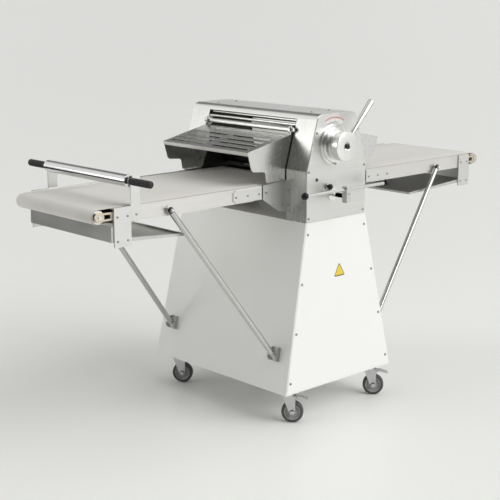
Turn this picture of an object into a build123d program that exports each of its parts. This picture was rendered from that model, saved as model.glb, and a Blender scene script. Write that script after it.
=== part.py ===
"""Floor-standing reversible dough sheeter with two folding belt tables.

Millimetres. +X runs along the tables, -Y is the operator's side, +Z is up, and the origin is on the
floor under the middle of the base. "Left" is the -X table, "front" is the -Y side.
"""
from build123d import *
from math import atan2, cos, degrees, hypot, pi, radians, sin, tan
import os

# ---------------------------------------------------------------- driving dimensions
seat_gap = 0.3
fit_gap = 0.05

# base cabinet, a tapered sheet-metal box, which the head stands on
base_low_z = 122.0
base_top_z = 725.0
base_top_edge = 1.0
base_top_lap = 2.0
base_flare_x = 125.0
base_flare_y = 31.0
base_wall = 2.5
base_rim = 32.0
base_floor = 6.0
base_opening_x = 200.0
base_opening_y = 60.0
panel_thick = 1.5
panel_margin = 4.0
screw_head_r = 5.0
screw_head_h = 2.5
screw_shank_r = 3.0
screw_len = 7.0
base_screw_end = 41.0
base_screw_edge = 16.0
base_screw_rows = 4

# casters
wheel_r = 40.0
wheel_width = 28.0
tyre_depth = 10.0
wheel_boss_r = 11.0
caster_in_x = 60.0
caster_in_y = 55.0
caster_trail = 21.0
caster_angle = -50.0
caster_plate_x = 90.0
caster_plate_y = 70.0
caster_plate_t = 4.0
caster_race_r = 24.0
caster_race_h = 10.0
crown_r = 25.0
crown_t = 6.0
kingpin_r = 6.0
axle_r = 5.0
fork_leg_gap = 2.0
fork_leg_t = 3.0
pedal_pin_r = 3.0
pedal_x = 30.0
pedal_drop = 14.0
pedal_half_y = 12.0

# head: two side casings joined by a top cover
head_half_x = 155.0
head_slope_in = 51.0
head_knee_rise = 183.0
head_slope_rise = 358.0
head_top_rise = 379.0
head_corner_r = 30.0
casing_width = 98.0
head_wall = 4.0
head_frame_t = 6.0
head_rim = 16.0
cover_t = 2.0
side_plate_t = 3.0
side_plate_gap = 2.0
tie_bar_r = 5.0
low_bar_r = 9.0

# rollers and conveyors, from the belt's width outward and from its upper face down
belt_rise = 136.3
belt_t = 2.0
belt_half_y = 214.0
belt_side_gap = 2.0
belt_roller_r = 22.0
drive_belt_gap = 9.7
drive_journal_r = 8.0
end_journal_r = 6.0
sheet_roller_r = 30.0
sheet_roller_lap = 3.0
roller_journal_r = 12.5
rest_gap = 12.5
drive_block_half = 22.0
drive_block_t = 16.0
slide_block_half = 30.0
slide_block_h = 35.0
bearing_t = 24.0
lower_block_half = 34.0
lower_block_top = 22.0
lower_block_low = 36.0
guide_w = 11.7
guide_h = 110.0
guide_low = 40.0
scraper_gap = 1.21298
scraper_lean = 35.21759

# folding tables
hinge_out = 117.0
hinge_drop = 6.3
hinge_gap = 2.5
hinge_pin_r = 3.0
hinge_lug_r = 7.0
table_lug_t = 4.0
table_lug_len = 58.0
bracket_lug_t = 4.2
bracket_flange_w = 33.0
bracket_flange_t = 4.0
bracket_foot_rise = 31.0
rail_side_gap = 12.0
head_side_gap = 6.0
rail_t = 3.0
rail_drop = 49.3
rail_rise = 0.7
rail_end_x = 916.0
rail_flange_y = 9.0
rail_flange_t = 1.5
bed_t = 3.0
end_roller_out = 49.0
end_plate_len = 67.0
end_plate_drop = 127.3
end_plate_t = 5.0
strap_len = 137.0
strap_t = 3.0
yoke_r = 17.0
yoke_t = 8.0
yoke_arm_z = 13.0
yoke_arm_t = 6.0
tray_wall_out = 9.0
tray_top_drop = 58.3
tray_outer_drop = 107.3
tray_inner_drop = 125.3
tray_left_len = 299.0
tray_right_len = 385.0
tray_t = 2.0
tray_lip = 12.0
tray_inner_lip = 6.0

# struts
strut_top_out = 422.0
strut_top_drop = 32.3
strut_top_gap = 10.0
strut_low_in = 71.1111
strut_low_z = 256.0
strut_stand_off = 16.0
strut_r = 10.0
strut_pin_r = 5.0
strut_eye_r = 13.0
strut_fold_share = 0.3
hook_half_y = 16.0
hook_t = 3.0

# rolling pin on the left table
pin_in = 0.5
pin_rise = 79.7
pin_tube_r = 20.0
pin_axle_r = 6.0
pin_grip_r = 12.0
pin_grip_len = 104.0
upright_w = 38.0
upright_top_rise = 95.7
upright_low_drop = 46.3

# guards
guard_pivot_out = 14.0
guard_pivot_rise = 182.7
guard_shaft_r = 9.0
guard_journal_r = 8.0
guard_sheet = 1.5
guard_in_out = 29.0
guard_in_rise = 166.7
guard_tip_out = 185.0
guard_tip_rise = 120.7
guard_lip = 13.0
slot_rows = 4
slot_first = 70.0
slot_step = 36.0
slot_w = 14.0
slot_front_margin = 30.0
slot_rear_margin = 12.0
slot_mid_front = -8.0
slot_mid_rear = 26.0

# gap setting: dial, lever, shaft, pinions and racks
dial_x = -19.0
dial_rise = 130.7
dial_shaft_r = 10.0
dial_bezel_r = 72.0
dial_bezel_t = 8.0
dial_stand_off = 68.0
dial_hub_r = 53.0
dial_flange_r = 62.0
dial_neck_r = 47.0
dial_groove_r = 49.0
dial_recess_r = 14.0
dial_recess = 12.0
lever_angle = 46.5
lever_stand_off = 52.0
lever_len = 206.0
lever_shank_r = 8.0
lever_root = 38.0
gear_module = 2.0
gear_teeth = 13
gear_width = 12.0
gear_play = 0.3

# reversing lever and stop button
rev_x = -24.0
rev_drop = 45.3
rev_shaft_r = 8.0
rev_bush_r = 12.0
rev_flange_r = 23.0
rev_flange_t = 6.0
rev_rod_r = 6.0
rev_rod_half = 210.0
rev_rod_rise = 25.0
rev_block = 22.0
rev_block_low = 22.0
rev_block_high = 37.0
rev_stand_off = 62.0
ball_r = 13.0
stop_x = -44.0
stop_drop = 16.3
stop_stem_r = 6.0
stop_head_r = 11.0
stop_head_t = 10.0
stop_travel = 7.0

# drive inside the base and the rear casing
sprocket_in = 48.0
sprocket_t = 8.0
roller_sprocket_r = 34.0
motor_sprocket_r = 20.0
motor_rise = 208.0
motor_r = 48.0
motor_len = 200.0
motor_shaft_r = 9.0
gear_case_x = 55.0
gear_case_y0 = 110.0
gear_case_y1 = 240.0
gear_case_low = 45.0
gear_case_top = 55.0
motor_foot_x = 70.0
motor_foot_y0 = 60.0
motor_foot_y1 = 250.0
motor_foot_t = 12.0
pillar_x = 45.0
pillar_y0 = 112.0
pillar_y1 = 230.0
chain_t = 7.0
chain_h = 6.0

# ---------------------------------------------------------------- worked-out dimensions
# heights
belt_top_z = base_top_z + belt_rise
head_knee_z = base_top_z + head_knee_rise
head_slope_z = base_top_z + head_slope_rise
head_top_z = base_top_z + head_top_rise
belt_bed_z = belt_top_z - belt_t - seat_gap
belt_axis_z = belt_bed_z - belt_roller_r
belt_in_r = belt_roller_r + seat_gap
belt_out_r = belt_in_r + belt_t
lower_axis_z = belt_top_z - sheet_roller_r - seat_gap
upper_axis_z = lower_axis_z + 2 * sheet_roller_r + rest_gap
hinge_z = belt_top_z - hinge_drop
rail_low_z = belt_top_z - rail_drop
rail_top_z = belt_top_z + rail_rise
bracket_foot_z = base_top_z + bracket_foot_rise
end_plate_low_z = belt_top_z - end_plate_drop
tray_top_z = belt_top_z - tray_top_drop
tray_outer_z = belt_top_z - tray_outer_drop
tray_inner_z = belt_top_z - tray_inner_drop
strut_top_z = belt_top_z - strut_top_drop
pin_z = belt_top_z + pin_rise
upright_top_z = belt_top_z + upright_top_rise
upright_low_z = belt_top_z - upright_low_drop
guard_pivot_z = belt_top_z + guard_pivot_rise
guard_in_z = belt_top_z + guard_in_rise
guard_tip_z = belt_top_z + guard_tip_rise
dial_z = belt_top_z + dial_rise
rev_z = belt_top_z - rev_drop
stop_z = belt_top_z - stop_drop
motor_z = base_low_z + motor_rise
pedal_z = base_low_z - caster_plate_t - caster_race_h - seat_gap - pedal_drop

# across the belts
belt_roller_half_y = belt_half_y + belt_side_gap
rail_in_y = belt_half_y + rail_side_gap
rail_out_y = rail_in_y + rail_t
head_in_y = rail_in_y + head_side_gap
head_out_y = head_in_y + casing_width
sheet_roller_half_y = head_in_y - sheet_roller_lap
guard_half_y = head_in_y - sheet_roller_lap
base_top_half_y = head_out_y + base_top_lap
base_low_half_y = base_top_half_y + base_flare_y
caster_y = base_low_half_y - caster_in_y
bracket_lug_y = rail_in_y - table_lug_t - bracket_lug_t - seat_gap
strut_top_y = rail_out_y + strut_top_gap
dial_face_y = head_out_y + dial_stand_off
lever_plane_y = head_out_y + lever_stand_off
rev_block_y = head_out_y + rev_stand_off
sprocket_y = head_in_y + sprocket_in

# along the belts
head_slope_x = head_half_x - head_slope_in
base_top_half_x = head_half_x + base_top_edge
base_low_half_x = base_top_half_x + base_flare_x
caster_x = base_low_half_x - caster_in_x
drive_roller_x = sheet_roller_r + belt_out_r + drive_belt_gap
hinge_x = head_half_x + hinge_out
end_roller_x = rail_end_x + end_roller_out
end_plate_x0 = rail_end_x - end_plate_len
strap_x0 = hinge_x + strap_len
tray_wall_x = rail_end_x + tray_wall_out
tray_left_x = tray_wall_x - tray_left_len
tray_right_x = tray_wall_x - tray_right_len
strut_top_x = hinge_x + strut_top_out
upright_x1 = end_plate_x0 + 1
upright_x0 = upright_x1 - upright_w
pin_x = end_plate_x0 - pin_in
guard_pivot_x = head_slope_x + guard_pivot_out
guard_in_x = head_slope_x + guard_in_out
guard_tip_x = head_half_x + guard_tip_out
gear_pitch_r = gear_module * gear_teeth / 2


def box(x0, x1, y0, y1, z0, z1):
    """Box between two corners."""
    centre = Pos((x0 + x1) / 2, (y0 + y1) / 2, (z0 + z1) / 2)
    return centre * Box(abs(x1 - x0), abs(y1 - y0), abs(z1 - z0))


def rod_y(r, x, z, y0, y1):
    """Round bar along Y."""
    return Pos(x, (y0 + y1) / 2, z) * Rot(90, 0, 0) * Cylinder(r, abs(y1 - y0))


def rod_x(r, y, z, x0, x1):
    """Round bar along X."""
    return Pos((x0 + x1) / 2, y, z) * Rot(0, 90, 0) * Cylinder(r, abs(x1 - x0))


def rod_z(r, x, y, z0, z1):
    """Round bar along Z."""
    return Pos(x, y, (z0 + z1) / 2) * Cylinder(r, abs(z1 - z0))


def plate_xz(points, y0, y1):
    """Plate with its outline in X and Z, from y0 to y1."""
    outline = Polyline([(x, y0, z) for x, z in points], close=True)
    return extrude(make_face(outline), amount=y1 - y0, dir=(0, 1, 0))


def frustum(half_x0, half_y0, z0, half_x1, half_y1, z1):
    """Four-sided tapered block with flat faces, centred on the Z axis."""
    ring = [(-1, -1), (1, -1), (1, 1), (-1, 1)]
    low = [(x * half_x0, y * half_y0, z0) for x, y in ring]
    high = [(x * half_x1, y * half_y1, z1) for x, y in ring]
    outlines = [low, high]
    for here in range(4):
        after = (here + 1) % 4
        outlines.append([low[here], low[after], high[after], high[here]])
    faces = [make_face(Polyline(outline, close=True)).face() for outline in outlines]
    return Solid(Shell(faces))


def both_sides(solid):
    """The solid and its mirror image on the other side, front and rear."""
    return [solid, mirror(solid, about=Plane.XZ)]


def left_to_right(solids):
    """Mirror left-hand solids to the right-hand side."""
    return [mirror(solid, about=Plane.YZ) for solid in solids]


# ---------------------------------------------------------------- base cabinet
def base_share(z):
    """How far up the taper a height is, from 0 at the bottom to 1 at the top."""
    return (z - base_low_z) / (base_top_z - base_low_z)


def base_half_x(z):
    """Outside half width of the cabinet along X at a height."""
    return base_low_half_x + (base_top_half_x - base_low_half_x) * base_share(z)


def base_half_y(z):
    """Outside half width of the cabinet along Y at a height."""
    return base_low_half_y + (base_top_half_y - base_low_half_y) * base_share(z)


def strut_low_y():
    """Where the strut's foot rests along Y, in from the cabinet's corner at that height."""
    return base_half_y(strut_low_z) - strut_low_in


def base_block(inset, z0, z1):
    """Block that follows the cabinet's taper, inset on all four sides."""
    return frustum(base_half_x(z0) - inset, base_half_y(z0) - inset, z0,
                   base_half_x(z1) - inset, base_half_y(z1) - inset, z1)


def make_base_shell():
    """Folded sheet cabinet: side walls, top, and rims that the front and rear panels screw to."""
    shell = base_block(0, base_low_z, base_top_z)
    shell -= base_block(base_wall, base_low_z, base_top_z - base_wall)
    z0 = base_low_z + base_rim
    z1 = base_top_z - base_rim
    shell -= frustum(base_half_x(z0) - base_rim, base_low_half_y + 1, z0,
                     base_half_x(z1) - base_rim, base_low_half_y + 1, z1)
    casing_mid_y = (head_in_y + head_out_y) / 2
    for side in (-1, 1):
        opening = Box(base_opening_x, base_opening_y, 4 * base_wall)
        shell -= Pos(0, side * casing_mid_y, base_top_z) * opening
    for x, y, z in base_screw_places():
        shell -= rod_y(screw_shank_r, x, z, y - 12, y + 12)
    return [shell]


def base_screw_places():
    """Centres of the panel screws, on the panels' outer faces."""
    places = []
    step = (base_top_z - base_low_z - 2 * base_screw_end) / (base_screw_rows - 1)
    for side in (-1, 1):
        for edge in (-1, 1):
            for row in range(base_screw_rows):
                z = base_low_z + base_screw_end + row * step
                places.append((edge * (base_half_x(z) - base_screw_edge), side * base_half_y(z), z))
    return places


def make_base_panels():
    """Flat removable panels on the front and rear of the cabinet."""
    z0 = base_low_z + panel_margin
    z1 = base_top_z - panel_margin
    panel = frustum(base_half_x(z0) - panel_margin, base_half_y(z0) + panel_thick, z0,
                    base_half_x(z1) - panel_margin, base_half_y(z1) + panel_thick, z1)
    panel -= base_block(0, base_low_z, base_top_z)
    for x, y, z in base_screw_places():
        panel -= rod_y(screw_shank_r, x, z, y - 12, y + 12)
    return panel.solids()


def make_base_floor():
    """Floor pan that closes the cabinet and carries the casters and the motor."""
    z0 = base_low_z
    pan = base_block(base_wall, z0, z0 + base_floor)
    return [pan]


def make_drive_motor():
    """Gear motor standing on the floor pan: foot, gear case, motor body, output shaft and sprocket."""
    floor_z = base_low_z + base_floor
    foot_z = floor_z + motor_foot_t
    case_z0 = motor_z - gear_case_low
    foot = box(-motor_foot_x, motor_foot_x, motor_foot_y0, motor_foot_y1, floor_z, foot_z)
    pillar = box(-pillar_x, pillar_x, pillar_y0, pillar_y1, foot_z, case_z0)
    case = box(-gear_case_x, gear_case_x, gear_case_y0, gear_case_y1, case_z0, motor_z + gear_case_top)
    body = rod_y(motor_r, 0, motor_z, gear_case_y0 - motor_len, gear_case_y0)
    shaft = rod_y(motor_shaft_r, 0, motor_z, gear_case_y1, sprocket_y + sprocket_t)
    wheel = rod_y(motor_sprocket_r, 0, motor_z, sprocket_y - sprocket_t / 2, sprocket_y + sprocket_t / 2)
    wheel -= rod_y(motor_shaft_r, 0, motor_z, gear_case_y1, sprocket_y + sprocket_t)
    return [foot, pillar, case, body, shaft, wheel]


def chain_outline(grow):
    """Loop round the two sprockets, as a face at the sprockets' height along Y, grown outward."""
    r_low = motor_sprocket_r + grow
    r_high = roller_sprocket_r + grow
    span = lower_axis_z - motor_z
    lean = (r_high - r_low) / span
    side = (1 - lean * lean) ** 0.5
    right_low = (r_low * side, motor_z - r_low * lean)
    right_high = (r_high * side, lower_axis_z - r_high * lean)
    left_low = (-right_low[0], right_low[1])
    left_high = (-right_high[0], right_high[1])
    y = sprocket_y - chain_t / 2
    top = (0, y, lower_axis_z + r_high)
    bottom = (0, y, motor_z - r_low)
    corner = [(x, y, z) for x, z in (right_low, right_high, left_high, left_low)]
    edges = [Line(corner[0], corner[1]), ThreePointArc(corner[1], top, corner[2]),
             Line(corner[2], corner[3]), ThreePointArc(corner[3], bottom, corner[0])]
    return make_face(Wire(edges))


def make_drive_chain():
    """Roller chain from the motor's sprocket up to the lower sheeting roller, as a plain loop."""
    outer = extrude(chain_outline(seat_gap + chain_h), amount=chain_t, dir=(0, 1, 0))
    inner = extrude(chain_outline(seat_gap), amount=chain_t, dir=(0, 1, 0))
    return [outer - inner]


# ---------------------------------------------------------------- casters
def caster_frame(side_x, side_y):
    """Place of one caster: its swivel axis, turned so that the wheel trails off to the front right."""
    return Pos(side_x * caster_x, side_y * caster_y, 0) * Rot(0, 0, caster_angle)


def make_caster_plate(side_x, side_y):
    """Square top plate with the swivel's race under it."""
    z1 = base_low_z
    z0 = z1 - caster_plate_t
    plate = Pos(0, 0, (z0 + z1) / 2) * Box(caster_plate_x, caster_plate_y, caster_plate_t)
    race = rod_z(caster_race_r, 0, 0, z0 - caster_race_h, z0)
    bore = rod_z(kingpin_r + fit_gap, 0, 0, z0 - caster_race_h - 2, z1)
    return Pos(side_x * caster_x, side_y * caster_y, 0) * (plate + race - bore)


def make_caster_fork(side_x, side_y):
    """Pressed fork with its kingpin, and the axle bolt that crosses it."""
    crown_top = base_low_z - caster_plate_t - caster_race_h - seat_gap
    crown_low = crown_top - crown_t
    leg_y = wheel_width / 2 + fork_leg_gap
    crown = rod_z(crown_r, 0, 0, crown_low, crown_top)
    crown += box(-10, crown_r + 1, -leg_y - fork_leg_t, leg_y + fork_leg_t, crown_low, crown_top)
    kingpin = rod_z(kingpin_r, 0, 0, crown_low, base_low_z - 1)
    outline = [(-14, crown_low), (pedal_x, crown_low), (pedal_x + 7, pedal_z), (pedal_x + 3, pedal_z - 8),
               (caster_trail + 11, wheel_r + 4), (caster_trail + 7, wheel_r - 9),
               (caster_trail - 7, wheel_r - 9), (caster_trail - 13, wheel_r + 4)]
    fork = crown + kingpin
    for side in (-1, 1):
        y0 = side * leg_y
        y1 = side * (leg_y + fork_leg_t)
        fork += plate_xz(outline, min(y0, y1), max(y0, y1))
    axle_end = leg_y + fork_leg_t + 4
    hole = rod_y(axle_r, caster_trail, wheel_r, -axle_end, axle_end)
    pedal_hole = rod_y(pedal_pin_r + fit_gap, pedal_x, pedal_z, -axle_end, axle_end)
    bolt = rod_y(axle_r, caster_trail, wheel_r, -axle_end, axle_end)
    place = caster_frame(side_x, side_y)
    return [place * (fork - hole - pedal_hole), place * bolt]


def make_caster_wheel(side_x, side_y):
    """Rubber tyre on a plastic hub."""
    half = wheel_width / 2
    tyre = rod_y(wheel_r, caster_trail, wheel_r, -half, half)
    tyre -= rod_y(wheel_r - tyre_depth, caster_trail, wheel_r, -half, half)
    hub = rod_y(wheel_r - tyre_depth, caster_trail, wheel_r, -half + 3, half - 3)
    hub += rod_y(wheel_boss_r, caster_trail, wheel_r, -half - 1, half + 1)
    hub -= rod_y(axle_r + fit_gap, caster_trail, wheel_r, -half - 2, half + 2)
    place = caster_frame(side_x, side_y)
    return [place * tyre, place * hub]


def make_brake_pedal(side_x, side_y):
    """Foot pedal of a wheel brake, hinged between the fork's ears."""
    half = wheel_width / 2 + fork_leg_gap - 0.5
    pedal = rod_y(pedal_pin_r, pedal_x, pedal_z, -half - fork_leg_t - 1, half + fork_leg_t + 1)
    pedal += rod_y(pedal_pin_r + 2, pedal_x, pedal_z, -half, half)
    tread = [(pedal_x, pedal_z + 4), (pedal_x + 16, pedal_z + 6), (pedal_x + 46, pedal_z - 2),
             (pedal_x + 47, pedal_z - 6), (pedal_x + 44, pedal_z - 7), (pedal_x + 15, pedal_z),
             (pedal_x, pedal_z - 2)]
    pedal += plate_xz(tread, -pedal_half_y, pedal_half_y)
    return [caster_frame(side_x, side_y) * pedal]


# ---------------------------------------------------------------- head casings and covers
def head_profile(inset):
    """Head's outline seen from the side, as a face at Y = 0, inset all round."""
    slope = (head_half_x - head_slope_x) / (head_slope_z - head_knee_z)
    top_x = head_slope_x - (head_top_z - head_slope_z) * slope
    corners = [(-head_half_x, 0, base_top_z), (-head_half_x, 0, head_knee_z), (-top_x, 0, head_top_z),
               (top_x, 0, head_top_z), (head_half_x, 0, head_knee_z), (head_half_x, 0, base_top_z)]
    outline = FilletPolyline(corners, radius=[0.5, 0.5, head_corner_r, head_corner_r, 0.5, 0.5], close=True)
    face = make_face(outline)
    if inset:
        face = offset(face, -inset, kind=Kind.INTERSECTION)
    return face


def head_block(inset, y0, y1):
    """Solid with the head's outline, from y0 to y1."""
    return extrude(Pos(0, y0, 0) * head_profile(inset), amount=y1 - y0, dir=(0, 1, 0))


def cover_band(y0, y1):
    """Curved sheet over the top of the head, down to the slope's end."""
    band = head_block(0, y0, y1) - head_block(cover_t, y0 - 1, y1 + 1)
    keep = box(-head_half_x, head_half_x, y0, y1, head_slope_z, head_top_z + 5)
    return band & keep


def head_screw_places():
    """Screws round the edge of a side plate, in X and Z."""
    rows = [(head_slope_x + 2, head_slope_z - 43), (head_half_x - 10, head_knee_z - 2),
            (head_half_x - 12, base_top_z + 15)]
    return [(side * x, z) for side in (-1, 1) for x, z in rows]


def make_casing(side):
    """Side casing: a stiff inner frame plate with a folded box round it, open to the outside."""
    y_in, y_out = head_in_y, head_out_y
    casing = head_block(0, y_in, y_out) - cover_band(y_in - 1, y_out + 1)
    casing -= head_block(head_wall, y_in + head_frame_t, y_out - head_wall)
    casing -= head_block(head_rim, y_out - head_wall - 1, y_out + 1)
    half = head_half_x - 35
    casing -= box(-half, half, y_in + 12, y_out - 10, base_top_z - 1, base_top_z + head_wall + 1)
    casing -= rod_y(roller_journal_r + 1, 0, lower_axis_z, y_in - 1, y_in + 10)
    slot_half = roller_journal_r + 1.5
    casing -= box(-slot_half, slot_half, y_in - 1, y_in + 10, upper_axis_z - 28, upper_axis_z + 40)
    casing -= rod_y(dial_shaft_r + fit_gap, dial_x, dial_z, y_in - 1, y_in + 10)
    for edge in (-1, 1):
        casing -= rod_y(drive_journal_r + 1, edge * drive_roller_x, belt_axis_z, y_in - 1, y_in + 10)
        casing -= rod_y(guard_journal_r + fit_gap, edge * guard_pivot_x, guard_pivot_z, y_in - 1, y_in + 10)
    for x, z in head_screw_places():
        casing -= rod_y(screw_shank_r, x, z, y_out - 8, y_out + 1)
    return [mirror(casing, about=Plane.XZ) if side < 0 else casing]


def make_side_plate(side):
    """Flat stainless plate that closes a side casing; the front one has the controls' holes."""
    plate = head_block(side_plate_gap, head_out_y, head_out_y + side_plate_t)
    y0, y1 = head_out_y - 1, head_out_y + side_plate_t + 1
    for x, z in head_screw_places():
        plate -= rod_y(screw_shank_r, x, z, y0, y1)
    if side < 0:
        plate -= rod_y(dial_shaft_r + 2, dial_x, dial_z, y0, y1)
        plate -= rod_y(rev_bush_r, rev_x, rev_z, y0, y1)
        plate -= rod_y(stop_stem_r + seat_gap, stop_x, stop_z, y0, y1)
        plate = mirror(plate, about=Plane.XZ)
    return [plate]


def make_top_cover():
    """One curved sheet over both casings and the rollers between them."""
    return [cover_band(-head_out_y, head_out_y)]


def make_panel_screws():
    """Button-head screws of the base panels and the head's side plates."""
    screws = []
    plate_y = head_out_y + side_plate_t
    for side in (-1, 1):
        for x, z in head_screw_places():
            head = rod_y(screw_head_r, x, z, side * plate_y, side * (plate_y + screw_head_h))
            shank = rod_y(screw_shank_r, x, z, side * (plate_y - screw_len), side * plate_y)
            screws.append(head + shank)
    slant = (base_low_half_y - base_top_half_y) / (base_top_z - base_low_z)
    for x, y, z in base_screw_places():
        side = 1 if y > 0 else -1
        seat = abs(y) + panel_thick + screw_head_r * slant
        head = rod_y(screw_head_r, x, z, side * seat, side * (seat + screw_head_h))
        shank = rod_y(screw_shank_r, x, z, side * (seat - screw_len), side * seat)
        screws.append(head + shank)
    return screws


def make_cross_bars():
    """Round tie bars between the casings, two over each mouth of the head."""
    bars = []
    for edge in (-1, 1):
        for x, z in ((head_slope_x - 12, head_slope_z - 7), (head_slope_x, head_slope_z - 22)):
            bars.append(rod_y(tie_bar_r, edge * x, z, -head_in_y, head_in_y))
        bars.append(rod_y(low_bar_r, edge * (head_half_x - 65), base_top_z + 45, -head_in_y, head_in_y))
    return bars


# ---------------------------------------------------------------- rollers
def make_roller_bearings():
    """Bearing blocks on the frame plates for the lower roller and the two belt drive rollers."""
    blocks = []
    y0 = head_in_y + head_frame_t
    for edge in (-1, 1):
        x = edge * drive_roller_x
        half = drive_block_half
        y1 = y0 + drive_block_t
        block = box(x - half, x + half, y0, y1, belt_axis_z - half + 2, belt_axis_z + half - 2)
        blocks += both_sides(block - rod_y(drive_journal_r + fit_gap, x, belt_axis_z, y0 - 1, y1 + 1))
    y1 = y0 + bearing_t
    block = box(-lower_block_half, lower_block_half, y0, y1, lower_axis_z - lower_block_low,
                lower_axis_z + lower_block_top)
    blocks += both_sides(block - rod_y(roller_journal_r + fit_gap, 0, lower_axis_z, y0 - 1, y1 + 1))
    guide_x = slide_block_half + seat_gap
    guide_z0 = upper_axis_z - guide_low
    for edge in (-1, 1):
        guide = box(edge * guide_x, edge * (guide_x + guide_w), y0, y1 + 4, guide_z0, guide_z0 + guide_h)
        blocks += both_sides(guide)
    return blocks


def make_lower_roller():
    """Lower sheeting roller, chromed steel, with the chain sprocket on its rear journal."""
    roller = rod_y(sheet_roller_r, 0, lower_axis_z, -sheet_roller_half_y, sheet_roller_half_y)
    front = -(head_in_y + head_frame_t + bearing_t)
    journal_end = sprocket_y + sprocket_t
    roller += rod_y(roller_journal_r, 0, lower_axis_z, front, journal_end)
    wheel = rod_y(roller_sprocket_r, 0, lower_axis_z, sprocket_y - sprocket_t / 2,
                  sprocket_y + sprocket_t / 2)
    wheel -= rod_y(roller_journal_r, 0, lower_axis_z, front, journal_end)
    return [roller, wheel]


def make_upper_roller():
    """Upper sheeting roller, which rises and falls with its bearing blocks."""
    roller = rod_y(sheet_roller_r, 0, upper_axis_z, -sheet_roller_half_y, sheet_roller_half_y)
    end = head_in_y + head_frame_t + bearing_t
    return [roller + rod_y(roller_journal_r, 0, upper_axis_z, -end, end)]


def rack_tooth_points(z):
    """One rack tooth about height z, pointing to -X, from the rack's root line."""
    pitch_x = dial_x + gear_pitch_r
    half = pi * gear_module / 4 - gear_play / 2
    lean = tan(radians(20))
    tip = half - gear_module * lean
    root = half + 1.25 * gear_module * lean
    root_x = pitch_x + 1.25 * gear_module
    tip_x = pitch_x - gear_module
    return [(root_x, z - root), (tip_x, z - tip), (tip_x, z + tip), (root_x, z + root)]


def make_upper_bearing_blocks():
    """Bearing blocks that slide in the casings, each with the rack that the dial's pinion lifts."""
    y0 = head_in_y + head_frame_t + seat_gap
    y1 = y0 + bearing_t
    block = box(-slide_block_half, slide_block_half, y0, y1, upper_axis_z - slide_block_h,
                upper_axis_z + slide_block_h)
    block -= rod_y(roller_journal_r + fit_gap, 0, upper_axis_z, y0 - 1, y1 + 1)
    rack_y = (y0 + y1) / 2
    root_x = dial_x + gear_pitch_r + 1.25 * gear_module
    rack = box(root_x, root_x + 12, rack_y - 5, rack_y + 5,
               upper_axis_z + slide_block_h, dial_z + 38)
    pitch = pi * gear_module
    for step in range(-5, 5):
        rack += plate_xz(rack_tooth_points(dial_z + step * pitch), rack_y - 5, rack_y + 5)
    return both_sides(block + rack)


def make_lower_scrapers():
    """Scraper bars beside the lower roller, which bridge to the two belts."""
    bars = []
    lean = radians(scraper_lean)
    tip_r = sheet_roller_r + scraper_gap
    side_x = sheet_roller_r + 3
    top_z = belt_top_z - 4.3
    low_z = belt_top_z - 23.3
    outline = [(tip_r * cos(lean), lower_axis_z + tip_r * sin(lean)), (side_x, top_z), (side_x + 8, top_z),
               (side_x + 3, top_z - 8), (side_x + 1, low_z), (side_x - 0.5, low_z)]
    for edge in (-1, 1):
        bars.append(plate_xz([(edge * x, z) for x, z in outline], -head_in_y, head_in_y))
    return bars


def drive_roller(edge):
    """Belt drive roller beside the sheeting rollers, with a journal at each end."""
    x = edge * drive_roller_x
    roller = rod_y(belt_roller_r, x, belt_axis_z, -belt_roller_half_y, belt_roller_half_y)
    end = head_in_y + head_frame_t + drive_block_t
    return [roller + rod_y(drive_journal_r, x, belt_axis_z, -end, end)]


# ---------------------------------------------------------------- gap setting
def make_pinion(y0, y1):
    """Small gear on the dial shaft, with a tooth space facing the rack at rest."""
    points = []
    step = 2 * pi / gear_teeth
    half_pitch = (pi * gear_module / 4 - gear_play) / gear_pitch_r
    stations = [(gear_pitch_r - 1.3 * gear_module, 1.3), (gear_pitch_r, 1.0), (gear_pitch_r + gear_module, 0.48)]
    for tooth in range(gear_teeth):
        mid = (tooth + 0.5) * step
        for r, share in stations:
            points.append((r, mid - half_pitch * share))
        for r, share in reversed(stations):
            points.append((r, mid + half_pitch * share))
    outline = [(dial_x + r * cos(a), dial_z + r * sin(a)) for r, a in points]
    return plate_xz(outline, y0, y1)


def make_gap_shaft():
    """Cross shaft of the dial, with a pinion in each casing."""
    mid = head_in_y + head_frame_t + seat_gap + bearing_t / 2
    shaft = rod_y(dial_shaft_r, dial_x, dial_z, -(dial_face_y - dial_recess), mid + gear_width)
    for side in (-1, 1):
        shaft += make_pinion(side * mid - gear_width / 2, side * mid + gear_width / 2)
    return [shaft]


def make_gap_hub():
    """Turned and stepped dial hub, bored for the shaft and drilled for the lever."""
    y_back = head_out_y + side_plate_t + dial_bezel_t + seat_gap
    steps = [(dial_flange_r, y_back, y_back + 9), (dial_neck_r, y_back + 9, y_back + 15),
             (dial_hub_r, y_back + 15, y_back + 22), (dial_groove_r, y_back + 22, y_back + 25),
             (dial_hub_r, y_back + 25, dial_face_y)]
    hub = None
    for r, y0, y1 in steps:
        disc = rod_y(r, dial_x, dial_z, -y0, -y1)
        hub = disc if hub is None else hub + disc
    hub -= rod_y(dial_shaft_r, dial_x, dial_z, -y_back + 1, -(dial_face_y - dial_recess))
    hub -= rod_y(dial_recess_r, dial_x, dial_z, -(dial_face_y - dial_recess), -dial_face_y - 1)
    return [hub - lever_shank(lever_shank_r, lever_root, dial_hub_r + 7)]


def lever_shank(r, start, end):
    """Straight round stretch of the gap lever between two distances from the dial's axis."""
    turn = Pos(dial_x, -lever_plane_y, dial_z) * Rot(0, -lever_angle, 0)
    return turn * Pos((start + end) / 2, 0, 0) * Rot(0, 90, 0) * Cylinder(r, end - start)


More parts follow.
